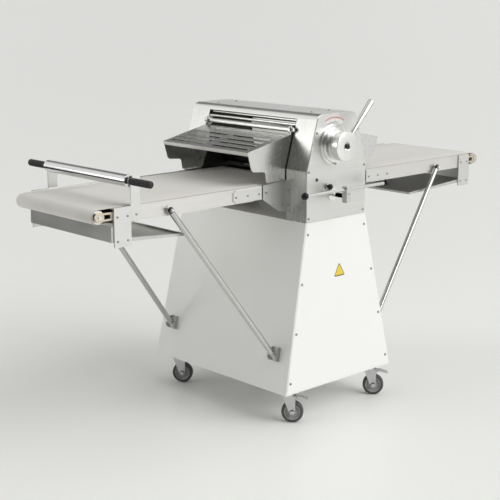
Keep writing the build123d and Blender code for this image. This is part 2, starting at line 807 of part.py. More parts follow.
def make_gap_lever():
    """Tapered round handle bar, screwed into the hub's rim."""
    turn = Pos(dial_x, -lever_plane_y, dial_z) * Rot(0, -lever_angle, 0)
    start = dial_hub_r + 1
    grip = Pos((start + lever_len) / 2, 0, 0) * Rot(0, 90, 0) * Cone(9, 12.5, lever_len - start)
    grip = fillet(grip.edges().sort_by(Axis.X)[-1], 3)
    return [turn * grip + lever_shank(lever_shank_r, lever_root, start + 1)]


def make_front_bezels():
    """Fixed ring and pin behind the dial, and the flanged bush that the reversing shaft turns in."""
    y0 = head_out_y + side_plate_t
    y1 = y0 + dial_bezel_t
    dial = rod_y(dial_bezel_r, dial_x, dial_z, -y0, -y1) - rod_y(2 * dial_shaft_r, dial_x, dial_z, -y0, -y1)
    dial += rod_y(4, dial_x - 2, dial_z - dial_bezel_r + 5, -y1, -(y1 + 12))
    bush_in = y0 - 16
    rev = rod_y(rev_flange_r, rev_x, rev_z, -y0, -(y0 + rev_flange_t))
    rev += rod_y(rev_bush_r, rev_x, rev_z, -bush_in, -y0)
    rev -= rod_y(rev_shaft_r + fit_gap, rev_x, rev_z, -bush_in, -(y0 + rev_flange_t))
    return [dial, rev]


# ---------------------------------------------------------------- reversing lever and stop button
def make_direction_lever():
    """Reversing lever: shaft through the casing, upright block, and the long cross rod."""
    mid_y = rev_block_y + rev_block / 2
    rod_z0 = rev_z + rev_rod_rise
    shaft = rod_y(rev_shaft_r, rev_x, rev_z, -(head_in_y + head_frame_t + bearing_t + 40), -mid_y)
    rod = rod_x(rev_rod_r, -mid_y, rod_z0, rev_x - rev_rod_half, rev_x + rev_rod_half)
    half = rev_block / 2
    block = box(rev_x - half, rev_x + half, -rev_block_y, -(rev_block_y + rev_block),
                rev_z - rev_block_low, rev_z + rev_block_high)
    return [shaft, rod, block - shaft - rod]


def make_lever_balls():
    """Round plastic knobs on both ends of the reversing rod."""
    mid_y = rev_block_y + rev_block / 2
    rod_z0 = rev_z + rev_rod_rise
    balls = []
    for edge in (-1, 1):
        x = rev_x + edge * rev_rod_half
        ball = Pos(x, -mid_y, rod_z0) * Rot(0, 90, 0) * Sphere(ball_r)
        balls.append(ball - rod_x(rev_rod_r, -mid_y, rod_z0, x, x - edge * (ball_r + 5)))
    return balls


def make_stop_button():
    """Mushroom push button beside the reversing lever."""
    y0 = head_out_y + side_plate_t
    head_y = y0 + stop_travel
    stem = rod_y(stop_stem_r, stop_x, stop_z, -(y0 - 12), -(head_y + 1))
    return [stem + rod_y(stop_head_r, stop_x, stop_z, -head_y, -(head_y + stop_head_t))]


# ---------------------------------------------------------------- guards, made on the left
def guard_wing_outline():
    """Side wing of the guard: an ear round the shaft, and a stepped foot that closes the mouth's side."""
    ear = [(guard_in_x, guard_in_z), (guard_pivot_x + 10, guard_pivot_z + 12),
           (guard_pivot_x - 10, guard_pivot_z + 12), (guard_pivot_x - 13, guard_pivot_z - 10)]
    foot = [(head_half_x - 35, 78.7), (head_half_x - 5, 6.7), (guard_tip_x - 90, 6.7), (guard_tip_x - 84, 40.7),
            (guard_tip_x - 76, 46.7), (guard_tip_x - 28, 50.7), (guard_tip_x - 18, 58.7)]
    outline = ear + [(x, belt_top_z + rise) for x, rise in foot] + [(guard_tip_x, guard_tip_z)]
    return [(-x, z) for x, z in outline]


def guard_slots():
    """Cutters for the two columns of finger slots."""
    lean = degrees(atan2(guard_in_z - guard_tip_z, guard_tip_x - guard_in_x))
    cutters = []
    for row in range(slot_rows):
        x = guard_in_x + slot_first + row * slot_step
        z = guard_in_z - (x - guard_in_x) * tan(radians(lean))
        for y0, y1 in ((slot_front_margin - guard_half_y, slot_mid_front),
                       (slot_mid_rear, guard_half_y - slot_rear_margin)):
            cutters.append(Pos(-x, (y0 + y1) / 2, z) * Rot(0, -lean, 0) * Box(slot_w, y1 - y0, 12))
    return cutters


def make_guard():
    """Slotted cover over one mouth of the head, hung on its shaft by two side wings."""
    run = guard_tip_x - guard_in_x
    drop = guard_in_z - guard_tip_z
    t = guard_sheet
    top = [(-guard_in_x, guard_in_z), (-guard_tip_x, guard_tip_z), (-guard_tip_x + 4, guard_tip_z - guard_lip),
           (-guard_tip_x + 4 + t, guard_tip_z - guard_lip), (-guard_tip_x + t + 1, guard_tip_z - t),
           (-guard_in_x, guard_in_z - t * hypot(run, drop) / run)]
    guard = plate_xz(top, -guard_half_y, guard_half_y)
    for cutter in guard_slots():
        guard -= cutter
    for y0, y1 in ((-guard_half_y, -guard_half_y + t), (guard_half_y - t, guard_half_y)):
        guard += plate_xz(guard_wing_outline(), y0, y1)
    guard -= rod_y(guard_shaft_r + fit_gap, -guard_pivot_x, guard_pivot_z, -head_in_y, head_in_y)
    return [guard]


def make_guard_shaft():
    """Shaft that the guard hangs on, with a journal in each casing."""
    end = head_in_y + head_frame_t + 4
    shaft = rod_y(guard_shaft_r, -guard_pivot_x, guard_pivot_z, -head_in_y + seat_gap, head_in_y - seat_gap)
    return [shaft + rod_y(guard_journal_r, -guard_pivot_x, guard_pivot_z, -end, end)]


# ---------------------------------------------------------------- tables, made on the left
def round_lug(x_end, y0, y1):
    """Flat lug along the table's side with a round end about the hinge axis."""
    x0, x1 = sorted((-hinge_x, x_end))
    lug = box(x0, x1, y0, y1, hinge_z - hinge_lug_r, hinge_z + hinge_lug_r)
    return lug + rod_y(hinge_lug_r, -hinge_x, hinge_z, y0, y1)


def make_hinge_brackets():
    """Angle brackets on the head that carry one table's hinge, with their lugs."""
    web_out = rail_out_y + strap_t
    lug_in = bracket_lug_y
    web = plate_xz([(-hinge_x + hinge_gap, rail_low_z), (-hinge_x + hinge_gap, rail_top_z - 5),
                    (-hinge_x + hinge_gap + 5, rail_top_z), (-head_half_x, rail_top_z + 6),
                    (-head_half_x, bracket_foot_z), (-head_half_x - 35, bracket_foot_z + 4)],
                   rail_out_y, web_out)
    flange = box(-head_half_x - bracket_flange_t, -head_half_x, rail_out_y, rail_out_y + bracket_flange_w,
                 bracket_foot_z, rail_top_z + 6)
    lug = round_lug(-hinge_x + 32, lug_in, lug_in + bracket_lug_t)
    spacer = box(-hinge_x + 10, -hinge_x + 32, lug_in, rail_out_y, hinge_z - hinge_lug_r,
                 hinge_z + hinge_lug_r)
    bracket = web + flange + lug + spacer
    bracket -= rod_y(hinge_pin_r, -hinge_x, hinge_z, lug_in - 1, lug_in + bracket_lug_t + 1)
    pin = rod_y(hinge_pin_r, -hinge_x, hinge_z, lug_in, rail_in_y)
    return both_sides(bracket) + both_sides(pin)


def make_rails():
    """Side rails of a table, with the hinge lug inside and the strut's stud outside."""
    web = box(-rail_end_x, -hinge_x - hinge_gap, rail_in_y, rail_out_y, rail_low_z, rail_top_z)
    flange = box(-rail_end_x, -hinge_x - 40, rail_in_y - rail_flange_y, rail_out_y,
                 rail_low_z - rail_flange_t, rail_low_z)
    lug = round_lug(-hinge_x - table_lug_len, rail_in_y - table_lug_t, rail_in_y)
    stud = rod_y(strut_pin_r, -strut_top_x, strut_top_z, rail_out_y, strut_top_y + 5)
    stud += rod_y(strut_pin_r + 4, -strut_top_x, strut_top_z, rail_out_y, strut_top_y - 4)
    rail = web + flange + lug + stud
    rail -= rod_y(hinge_pin_r + fit_gap, -hinge_x, hinge_z, rail_in_y - 5, rail_in_y + 1)
    return both_sides(rail)


def make_side_plates():
    """End plates and hinge-end straps, flat steel screwed to the outside of the rails."""
    end = box(-rail_end_x, -end_plate_x0, rail_out_y, rail_out_y + end_plate_t, end_plate_low_z, rail_top_z)
    strap = box(-strap_x0 + 8, -hinge_x - hinge_gap, rail_out_y, rail_out_y + strap_t, rail_low_z + 2,
                rail_top_z - 4)
    strap += box(-strap_x0, -strap_x0 + 8, rail_out_y, rail_out_y + strap_t, rail_low_z + 8, rail_top_z - 10)
    return both_sides(end) + both_sides(strap)


def make_slider_bed():
    """Stainless sheet that the belt's upper run slides on, with its edges on the rails."""
    lug_end = hinge_x + table_lug_len + 2
    bed = box(-rail_end_x, -lug_end, -rail_in_y, rail_in_y, belt_bed_z - bed_t, belt_bed_z)
    half = rail_in_y - table_lug_t - seat_gap
    bed += box(-lug_end, -hinge_x - hinge_lug_r - 1.5, -half, half, belt_bed_z - bed_t, belt_bed_z)
    half = bracket_lug_y - seat_gap
    return [bed + box(-lug_end, -hinge_x - 3, -half, half, belt_bed_z - bed_t, belt_bed_z)]


def make_end_roller():
    """Idler roller at the table's outer end."""
    roller = rod_y(belt_roller_r, -end_roller_x, belt_axis_z, -belt_roller_half_y, belt_roller_half_y)
    return [roller + rod_y(end_journal_r, -end_roller_x, belt_axis_z, -rail_in_y - 2, rail_in_y + 2)]


def make_tensioners():
    """Yellow-plated steel yokes that hold the end roller and tighten the belt."""
    y0, y1 = rail_in_y - yoke_t, rail_in_y
    z = belt_axis_z
    x_in = -end_plate_x0 - 5
    arm_out = yoke_arm_z
    arm_in = yoke_arm_z - yoke_arm_t
    yoke = rod_y(yoke_r, -end_roller_x, z, y0, y1)
    yoke += box(-end_roller_x + 12, x_in, y0, y1, z + arm_in, z + arm_out)
    yoke += box(-end_roller_x + 12, x_in, y0, y1, z - arm_out, z - arm_in)
    yoke += box(-rail_end_x - 8, -rail_end_x, y0, y1, z - arm_out, z + arm_out)
    yoke -= rod_y(end_journal_r + fit_gap, -end_roller_x, z, y0 - 1, y1 + 1)
    return both_sides(yoke)


def belt_loop(x_roller, x_open):
    """One end of a belt: round a roller at x_roller, with both runs cut off at x_open."""
    x0, x1 = sorted((x_roller, x_open))
    half = belt_half_y
    outer = rod_y(belt_out_r, x_roller, belt_axis_z, -half, half)
    outer += box(x0, x1, -half, half, belt_axis_z - belt_out_r, belt_axis_z + belt_out_r)
    inner = rod_y(belt_in_r, x_roller, belt_axis_z, -half, half)
    inner += box(x0, x1, -half, half, belt_axis_z - belt_in_r, belt_axis_z + belt_in_r)
    return outer - inner


def make_belt():
    """Belt over the folding table, round the end roller."""
    return [belt_loop(-end_roller_x, -hinge_x - 7)]


def make_belt_inner(edge):
    """The same belt's other end, inside the head, round the drive roller."""
    return belt_loop(edge * drive_roller_x, edge * (hinge_x - 7))


def make_inner_bed(edge):
    """Slider bed between the hinge brackets, up to the drive roller."""
    x0, x1 = sorted((edge * (hinge_x - 5), edge * (drive_roller_x + 16)))
    return box(x0, x1, -bracket_lug_y, bracket_lug_y, belt_bed_z - bed_t, belt_bed_z)


def make_tray(inner_x):
    """Catch tray under the table's outer half: sloping floor, end wall, side lips and screw tabs."""
    half = rail_out_y
    t = tray_t
    floor = [(-tray_wall_x, tray_outer_z), (-inner_x, tray_inner_z), (-inner_x, tray_inner_z - t),
             (-tray_wall_x, tray_outer_z - t)]
    tray = plate_xz(floor, -half, half)
    tray += box(-tray_wall_x, -tray_wall_x + t, -half, half, tray_outer_z - t, tray_top_z)
    tray += box(-inner_x - t, -inner_x, -half, half, tray_inner_z - t,
                tray_inner_z + tray_inner_lip)
    lip = [(-tray_wall_x, tray_outer_z + tray_lip), (-inner_x, tray_inner_z + tray_inner_lip),
           (-inner_x, tray_inner_z - t), (-tray_wall_x, tray_outer_z - t)]
    for y0, y1 in ((-half, -half + t), (half - t, half)):
        tray += plate_xz(lip, y0, y1)
        tray += box(-tray_wall_x, -end_plate_x0 - 6, y0, y1, tray_outer_z - t, tray_top_z)
    return [tray]


# ---------------------------------------------------------------- struts, made on the left
def strut_low_x():
    """Where the strut's cross pin rests, beside the cabinet's slanted face."""
    return -(base_half_x(strut_low_z) + strut_stand_off)


def make_strut():
    """Tube with an eye at the table and a cross pin that sits in the cabinet's hook."""
    top = Vector(-strut_top_x, strut_top_y, strut_top_z)
    low = Vector(strut_low_x(), strut_low_y(), strut_low_z)
    along = (low - top).normalized()
    length = (low - top).length
    eye = rod_y(strut_eye_r, -strut_top_x, strut_top_z, strut_top_y - 3, strut_top_y + 3)
    start = top + along * 9
    tube_plane = Plane(origin=start, z_dir=along)
    tube = extrude(tube_plane * Circle(strut_r), amount=length - 9)
    tube -= rod_y(40, -strut_top_x, strut_top_z, strut_top_y - 30, strut_top_y - 3)
    strut = tube + eye + rod_y(strut_pin_r, low.X, low.Z, strut_low_y() - 18, strut_low_y() + 18)
    strut -= rod_y(strut_pin_r + fit_gap, -strut_top_x, strut_top_z, strut_top_y - 30, strut_top_y + 30)
    return both_sides(strut)


def hook_direction():
    """Direction in which a strut's foot leaves its hook when the table starts to fold, in X and Z."""
    arm_x = -strut_top_x + hinge_x
    arm_z = strut_top_z - hinge_z
    foot_x = strut_low_x() + strut_top_x
    foot_z = strut_low_z - strut_top_z
    go_x = arm_z + strut_fold_share * foot_z
    go_z = -arm_x - strut_fold_share * foot_x
    size = hypot(go_x, go_z)
    return go_x / size, go_z / size


def make_strut_hooks():
    """Open hooks on the cabinet's side, two cheeks on a back plate, one for each strut's foot."""
    x, z = strut_low_x(), strut_low_z
    go_x, go_z = hook_direction()
    side_x, side_z = go_z, -go_x
    half = strut_pin_r + seat_gap
    z0, z1 = z - 24, z + 26
    outline = [(-base_half_x(z0), z0), (x - 8, z - 18), (x - 15, z - 6), (x - 15, z + 8), (x - 2, z + 24),
               (-base_half_x(z1), z1)]
    slot = [(x - side_x * half, z - side_z * half), (x + side_x * half, z + side_z * half),
            (x + go_x * 40 + side_x * (half + 9), z + go_z * 40 + side_z * (half + 9)),
            (x + go_x * 40 - side_x * (half + 9), z + go_z * 40 - side_z * (half + 9))]
    back = [(-base_half_x(z0), z0), (-base_half_x(z0) - 3, z0), (-base_half_x(z1) - 3, z1),
            (-base_half_x(z1), z1)]
    hook = plate_xz(back, strut_low_y() - 20, strut_low_y() + 20)
    for y0 in (strut_low_y() - hook_half_y, strut_low_y() + hook_half_y - hook_t):
        cheek = plate_xz(outline, y0, y0 + hook_t)
        cheek -= plate_xz(slot, y0 - 1, y0 + hook_t + 1)
        cheek -= rod_y(half, x, z, y0 - 1, y0 + hook_t + 1)
        hook += cheek
    return both_sides(hook)


# ---------------------------------------------------------------- rolling pin on the left table
def make_pin_uprights():
    """Upright plates on the left table, notched at the top for the rolling pin's axle."""
    y0, y1 = rail_out_y, rail_out_y + end_plate_t
    seat = pin_axle_r + seat_gap
    plate = box(-upright_x1 + 1, -upright_x0, y0, y1, upright_low_z, upright_top_z)
    plate -= rod_y(seat, -pin_x, pin_z, y0 - 1, y1 + 1)
    plate -= box(-upright_x1 - 5, -pin_x + seat, y0 - 1, y1 + 1, pin_z, upright_top_z + 5)
    return both_sides(plate)


def make_pin_tube():
    """Stainless tube of the rolling pin, bored to run on its axle."""
    half = rail_out_y - 3
    tube = rod_y(pin_tube_r, -pin_x, pin_z, -half, half)
    return [tube - rod_y(pin_axle_r + fit_gap, -pin_x, pin_z, -half - 1, half + 1)]


def make_pin_axle():
    """Axle of the rolling pin with a plastic grip on each end."""
    grip_start = rail_out_y + end_plate_t + 1
    grip_end = grip_start + pin_grip_len
    axle = rod_y(pin_axle_r, -pin_x, pin_z, -grip_end + 10, grip_end - 10)
    grip = rod_y(pin_grip_r, -pin_x, pin_z, grip_start, grip_end)
    grip -= rod_y(pin_axle_r, -pin_x, pin_z, grip_start, grip_end - 10)
    return [axle] + both_sides(grip)


# ---------------------------------------------------------------- all nodes
def all_nodes():
    """Every node by name, as a list of its solids."""
    nodes = {
        "base_shell": make_base_shell(),
        "base_panels": make_base_panels(),
        "base_floor_pan": make_base_floor(),
        "panel_screws": make_panel_screws(),
        "drive_motor": make_drive_motor() + make_drive_chain(),
        "side_casings": make_casing(-1) + make_casing(1),
        "side_plates": make_side_plate(-1) + make_side_plate(1),
        "top_cover": make_top_cover(),
        "cross_bars": make_cross_bars(),
        "roller_bearings": make_roller_bearings(),
        "lower_roller": make_lower_roller(),
        "upper_roller": make_upper_roller(),
        "upper_bearing_blocks": make_upper_bearing_blocks(),
        "gap_shaft": make_gap_shaft(),
        "gap_hub": make_gap_hub(),
        "gap_lever": make_gap_lever(),
        "front_bezels": make_front_bezels(),
        "direction_lever": make_direction_lever(),
        "lever_balls": make_lever_balls(),
        "stop_button": make_stop_button(),
        "belt_inner_ends": [make_belt_inner(-1), make_belt_inner(1)],
        "head_beds": [make_inner_bed(-1), make_inner_bed(1)] + make_lower_scrapers(),
        "drive_roller_left": drive_roller(-1),
        "drive_roller_right": drive_roller(1),
        "pin_uprights": make_pin_uprights(),
        "rolling_pin_tube": make_pin_tube(),
        "rolling_pin_axle": make_pin_axle(),
    }
    brackets = make_hinge_brackets()
    hooks = make_strut_hooks()
    nodes["hinge_brackets"] = brackets + left_to_right(brackets)
    nodes["strut_hooks"] = hooks + left_to_right(hooks)
    left = {
        "guard": make_guard(),
        "guard_shaft": make_guard_shaft(),
        "table_rails": make_rails(),
        "table_side_plates": make_side_plates(),
        "slider_bed": make_slider_bed(),
        "end_roller": make_end_roller(),
        "belt_tensioners": make_tensioners(),
        "belt": make_belt(),
        "struts": make_strut(),
    }
    for name, solids in left.items():
        nodes[name + "_left"] = solids
        nodes[name + "_right"] = left_to_right(solids)
    nodes["catch_tray_left"] = make_tray(tray_left_x)
    nodes["catch_tray_right"] = left_to_right(make_tray(tray_right_x))
    corners = {"front_left": (-1, -1), "front_right": (1, -1), "rear_left": (-1, 1), "rear_right": (1, 1)}
    nodes["caster_plates"] = [make_caster_plate(x, y) for x, y in corners.values()]
    for name, (x, y) in corners.items():
        nodes["caster_fork_" + name] = make_caster_fork(x, y)
        nodes["caster_wheel_" + name] = make_caster_wheel(x, y)
        if y < 0:
            nodes["brake_pedal_" + name] = make_brake_pedal(x, y)
    return nodes


def main():
    """Write one STEP file for each node."""
    os.makedirs("parts", exist_ok=True)
    for name, solids in all_nodes().items():
        pieces = [piece for solid in solids for piece in solid.solids()]
        shape = pieces[0] if len(pieces) == 1 else Compound(children=pieces)
        export_step(shape, f"parts/{name}.step")


main()
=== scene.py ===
"""Looks of a floor-standing dough sheeter with two folding belt tables.

Metres. +X runs along the tables, -Y is the operator's side, +Z is up.
"""
from math import acos, cos, hypot, pi, radians, sin, tan

import bmesh
import bpy
from mathutils import Matrix, Vector


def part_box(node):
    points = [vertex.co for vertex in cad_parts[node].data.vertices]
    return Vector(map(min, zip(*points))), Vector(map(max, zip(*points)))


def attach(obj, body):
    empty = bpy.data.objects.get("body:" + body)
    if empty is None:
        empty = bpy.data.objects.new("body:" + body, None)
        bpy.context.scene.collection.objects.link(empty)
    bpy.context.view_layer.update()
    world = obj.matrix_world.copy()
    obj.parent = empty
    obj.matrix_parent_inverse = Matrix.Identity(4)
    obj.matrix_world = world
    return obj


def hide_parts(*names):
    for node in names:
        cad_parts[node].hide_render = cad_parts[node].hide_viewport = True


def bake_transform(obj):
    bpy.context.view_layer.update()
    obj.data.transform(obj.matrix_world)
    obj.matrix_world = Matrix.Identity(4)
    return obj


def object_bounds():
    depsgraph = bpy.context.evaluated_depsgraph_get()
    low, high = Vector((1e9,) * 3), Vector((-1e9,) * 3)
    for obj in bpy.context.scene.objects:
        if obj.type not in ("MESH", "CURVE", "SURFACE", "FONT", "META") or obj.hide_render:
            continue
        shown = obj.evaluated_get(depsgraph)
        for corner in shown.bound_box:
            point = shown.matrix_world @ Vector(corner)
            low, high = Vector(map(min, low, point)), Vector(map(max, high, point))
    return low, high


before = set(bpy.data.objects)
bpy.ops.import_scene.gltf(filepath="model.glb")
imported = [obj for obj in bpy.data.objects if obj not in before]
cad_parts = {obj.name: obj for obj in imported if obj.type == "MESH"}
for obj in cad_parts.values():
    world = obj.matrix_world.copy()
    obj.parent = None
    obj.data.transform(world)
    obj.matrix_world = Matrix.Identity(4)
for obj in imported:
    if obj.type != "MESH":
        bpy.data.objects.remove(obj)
cad_low, cad_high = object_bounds()

# ---------------- camera
# A long lens at a standing baker's chest height, looking at the operator's side from the left.
camera_azimuth = radians(-43.17)
camera_rise = radians(12.5)
camera_back = Vector((sin(camera_azimuth) * cos(camera_rise),
                      -cos(camera_azimuth) * cos(camera_rise), sin(camera_rise)))
camera = bpy.data.objects.new("camera", bpy.data.cameras.new("camera"))
bpy.context.scene.collection.objects.link(camera)
camera.location = (-3.082, -3.164, 1.532)
camera.rotation_mode = "QUATERNION"
camera.rotation_quaternion = (-camera_back).to_track_quat("-Z", "Y")
camera.data.sensor_width = 36.0
camera.data.lens = 84.8
camera.data.clip_end = 200.0
bpy.context.scene.camera = camera


# ---------------- studio floor
# A seamless pale sheet of painted board with a slight sheen, laid flat and far beyond the machine, so
# that the casters stand on a faint reflection.
class Wire:
    """A shader socket that takes part in Python arithmetic: each operation adds its Math node."""

    def __init__(self, tree, socket=None):
        self.tree = tree
        self.socket = socket

    def node(self, kind, settings=None, values=None, output=0):
        """Adds a node with its settings, then its sockets' values or links, and wraps one output."""
        made = self.tree.nodes.new(kind)
        for name, value in (settings or {}).items():
            setattr(made, name, value)
        for name, value in (values or {}).items():
            if isinstance(value, Wire):
                self.tree.links.new(value.socket, made.inputs[name])
            else:
                made.inputs[name].default_value = value
        return Wire(self.tree, made.outputs[output] if made.outputs else None)

    def math(self, operation, first, second):
        return self.node("ShaderNodeMath", {"operation": operation}, {0: first, 1: second})

    def __add__(self, other):
        return self.math("ADD", self, other)

    __radd__ = __add__

    def __sub__(self, other):
        return self.math("SUBTRACT", self, other)

    def __rsub__(self, other):
        return self.math("SUBTRACT", other, self)

    def __mul__(self, other):
        return self.math("MULTIPLY", self, other)

    __rmul__ = __mul__

    def __gt__(self, other):
        return self.math("GREATER_THAN", self, other)

    def place(self, scale=(1.0, 1.0, 1.0)):
        """Object coordinates in metres, stretched along each axis."""
        where = self.node("ShaderNodeTexCoord", output="Object")
        return self.node("ShaderNodeMapping", {}, {"Vector": where, "Scale": scale})

    def noise(self, vector, scale, detail=3.0, rough=0.5):
        return self.node("ShaderNodeTexNoise", {},
                         {"Vector": vector, "Scale": scale, "Detail": detail, "Roughness": rough})

    def mix(self, share, low, high):
        """Colour mix from low to high."""
        low = low if isinstance(low, Wire) else (*low, 1.0)
        high = high if isinstance(high, Wire) else (*high, 1.0)
        return self.node("ShaderNodeMix", {"data_type": "RGBA"}, {0: share, 6: low, 7: high}, output=2)

    def bump(self, height, depth, strength=1.0):
        return self.node("ShaderNodeBump", {},
                         {"Height": height, "Distance": depth, "Strength": strength})

    def shader(self, **values):
        """Ends the material with a Principled surface."""
        named = {name.replace("_", " "): value for name, value in values.items()}
        surface = self.node("ShaderNodeBsdfPrincipled", {}, named)
        self.node("ShaderNodeOutputMaterial", {}, {"Surface": surface})


def new_finish(name):
    """Empty node material, and the wire that builds it."""
    material = bpy.data.materials.new(name)
    material.use_nodes = True
    material.node_tree.nodes.clear()
    return material, Wire(material.node_tree)


def mottled(name, dark, light, patch, rough, grain=None, **more):
    """Plain finish. A patch noise of (scale, detail) drifts the tone from dark to light and the
    roughness by (lowest, swing), and a grain of (scale, detail, depth, strength) gives it a tooth."""
    made, wire = new_finish(name)
    drift = wire.noise(wire.place(), *patch)
    if grain:
        scale, detail, depth, strength = grain
        more["Normal"] = wire.bump(wire.noise(wire.place(), scale, detail), depth, strength)
    wire.shader(Base_Color=wire.mix(drift, dark, light), Roughness=rough[0] + rough[1] * drift, **more)
    return made


floor_finish = mottled("studio_floor", (0.80, 0.80, 0.785), (0.82, 0.82, 0.805), (0.7, 2.0), (0.30, 0.06),
                       Specular_IOR_Level=0.22)
floor_size = 2000.0
bpy.ops.mesh.primitive_grid_add(x_subdivisions=8, y_subdivisions=8, size=floor_size)
studio_floor = bpy.context.object
studio_floor.name = "studio_floor"
studio_floor.data.materials.append(floor_finish)

# ---------------- studio light
# A pale room that is dark behind the camera, with a dark flag hung behind and above the machine. A
# broad soft sun and a soft box light the operator's side, and a soft box at the rear left the steel.
# A low black flag at the rear left is seen only by the steel, and gives its upright faces their depth.
bpy.context.scene.view_settings.view_transform = "Standard"
world = bpy.data.worlds.new("studio_room")
bpy.context.scene.world = world
world.use_nodes = True
world.node_tree.nodes.clear()
room = Wire(world.node_tree)
direction = room.node("ShaderNodeTexCoord", output="Generated")


def lobe(middle, start, full):
    """Share of how far a direction lies inside the cone round a middle direction."""
    nearness = room.node("ShaderNodeVectorMath", {"operation": "DOT_PRODUCT"},
                         {0: direction, 1: Vector(middle).normalized()}, output="Value")
    return room.node("ShaderNodeMapRange", {"interpolation_type": "SMOOTHSTEP"},
                     {"Value": nearness, "From Min": start, "From Max": full})


flag = lobe((0.47, 0.60, 0.65), 0.80, 0.96)
behind_camera = lobe((-0.72, -0.66, 0.22), 0.25, 0.90)
walls = room.mix(behind_camera, (0.95, 0.955, 0.935), (0.08, 0.08, 0.078))
room_colour = room.mix(flag, walls, (0.17, 0.17, 0.167))
glow = room.node("ShaderNodeBackground", {}, {"Color": room_colour, "Strength": 1.0})
room.node("ShaderNodeOutputWorld", {}, {"Surface": glow})


def aim(made, place, target):
    """Places a light and turns it towards a point."""
    bpy.context.scene.collection.objects.link(made)
    made.location = place
    made.rotation_mode = "QUATERNION"
    made.rotation_quaternion = (Vector(target) - Vector(place)).to_track_quat("-Z", "Y")
    made.visible_camera = False


def soft_box(name, place, size, power):
    """Rectangular soft light, turned towards the middle of the machine."""
    light = bpy.data.lights.new(name, "AREA")
    light.shape = "RECTANGLE"
    light.size, light.size_y = size
    light.energy = power
    light.color = (1.0, 0.995, 0.98)
    aim(bpy.data.objects.new(name, light), place, (cad_low + cad_high) / 2)


soft_box("left_rear_box", (-4.9, 3.5, 1.7), (2.2, 1.6), 40)
soft_box("front_box", (1.6, -5.0, 2.6), (3.0, 2.0), 50)
flag_black = mottled("flag_black_cloth", (0.010, 0.010, 0.010), (0.016, 0.016, 0.016), (40.0, 2.0),
                     (0.9, 0.05))
bpy.ops.mesh.primitive_grid_add(x_subdivisions=2, y_subdivisions=2, size=1.0)
low_flag = bpy.context.object
low_flag.name = "low_flag"
low_flag.scale = (2.6, 0.72, 1.0)
low_flag.rotation_euler = (radians(90), 0, radians(43))
low_flag.location = (-2.0, 1.7, 0.37)
low_flag.data.materials.append(flag_black)
low_flag.visible_camera = False
low_flag.visible_diffuse = False
low_flag.visible_shadow = False
key_sun = bpy.data.lights.new("key_sun", "SUN")
key_sun.energy = 1.45
key_sun.angle = radians(50)
aim(bpy.data.objects.new("key_sun", key_sun), (1.6, -4.2, 4.4), (0, 0, 0.5))

# ---------------- caster plates and forks
# Zinc-plated pressings: a plate screwed under each corner of the cabinet, a ball race, and a fork on
# a kingpin with the wheel's axle bolt across it. The edges are rounded where the press has sheared them.
MM = 0.001


def geometry_tool(name):
    """Empty geometry-node group for a modifier, with its way in and its way out."""
    tool = bpy.data.node_groups.new(name, "GeometryNodeTree")
    for way in ("INPUT", "OUTPUT"):
        tool.interface.new_socket("Geometry", in_out=way, socket_type="NodeSocketGeometry")
    return tool, tool.nodes.new("NodeGroupInput"), tool.nodes.new("NodeGroupOutput")


def pass_through(tool, begin, stops, end):
    """Leads the geometry from the way in through each node, in order, to the way out."""
    here = begin.outputs[0]
    for stop in stops:
        tool.links.new(here, stop.inputs["Geometry"])
        here = stop.outputs["Geometry"]
    tool.links.new(here, end.inputs[0])


join_faces, begin, end = geometry_tool("join_faces")
forget = join_faces.nodes.new("GeometryNodeRemoveAttribute")
forget.inputs["Name"].default_value = "custom_normal"
merge = join_faces.nodes.new("GeometryNodeMergeByDistance")
weld_reach = 0.000005
merge.inputs["Distance"].default_value = weld_reach
pass_through(join_faces, begin, [forget, merge], end)

shade_smooth, begin, end = geometry_tool("shade_smooth")
smooth_faces = shade_smooth.nodes.new("GeometryNodeSetShadeSmooth")
sharp_edges = shade_smooth.nodes.new("GeometryNodeSetShadeSmooth")
sharp_edges.domain = "EDGE"
sharp_edges.inputs["Shade Smooth"].default_value = False
angle = shade_smooth.nodes.new("GeometryNodeInputMeshEdgeAngle")
steep = shade_smooth.nodes.new("FunctionNodeCompare")
steep.operation = "GREATER_THAN"
steep.inputs["B"].default_value = radians(32)
shade_smooth.links.new(angle.outputs["Unsigned Angle"], steep.inputs["A"])
shade_smooth.links.new(steep.outputs["Result"], sharp_edges.inputs["Selection"])
pass_through(shade_smooth, begin, [smooth_faces, sharp_edges], end)


def crisp(piece):
    """Shades a piece smooth with flat faces kept flat up to their rounded edges."""
    piece.modifiers.new("smooth", "NODES").node_group = shade_smooth
    weighted = piece.modifiers.new("flat shading", "WEIGHTED_NORMAL")
    weighted.keep_sharp = True


def round_edges(piece, edge):
    """Rounds a piece's corners, edge in millimetres, and shades it."""
    if edge:
        rounding = piece.modifiers.new("rounded edges", "BEVEL")
        rounding.width = edge * MM
        rounding.segments = 2
        rounding.limit_method = "ANGLE"
        rounding.angle_limit = radians(35)
    crisp(piece)


def dress(node, finish, edge=0.6, flat=True):
    """Gives a CAD node its finish, joined faces and rounded edges, edge in millimetres."""
    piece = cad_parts[node]
    piece.data.materials.clear()
    piece.data.materials.append(finish)
    piece.modifiers.new("joined", "NODES").node_group = join_faces
    if flat:
        planar = piece.modifiers.new("flat faces", "DECIMATE")
        planar.decimate_type = "DISSOLVE"
        planar.angle_limit = radians(0.6)
    round_edges(piece, edge)


def brushing(wire, along):
    """Long fine scratches along one axis, broader streaks among them, and a smear left by wiping."""
    fine = tuple(6.0 if axis == along else 900.0 for axis in "XYZ")
    wide = tuple(2.0 if axis == along else 60.0 for axis in "XYZ")
    return (wire.noise(wire.place(fine), 1.0, 2.0), wire.noise(wire.place(wide), 1.0, 2.0),
            wire.noise(wire.place(), 9.0, 3.0))


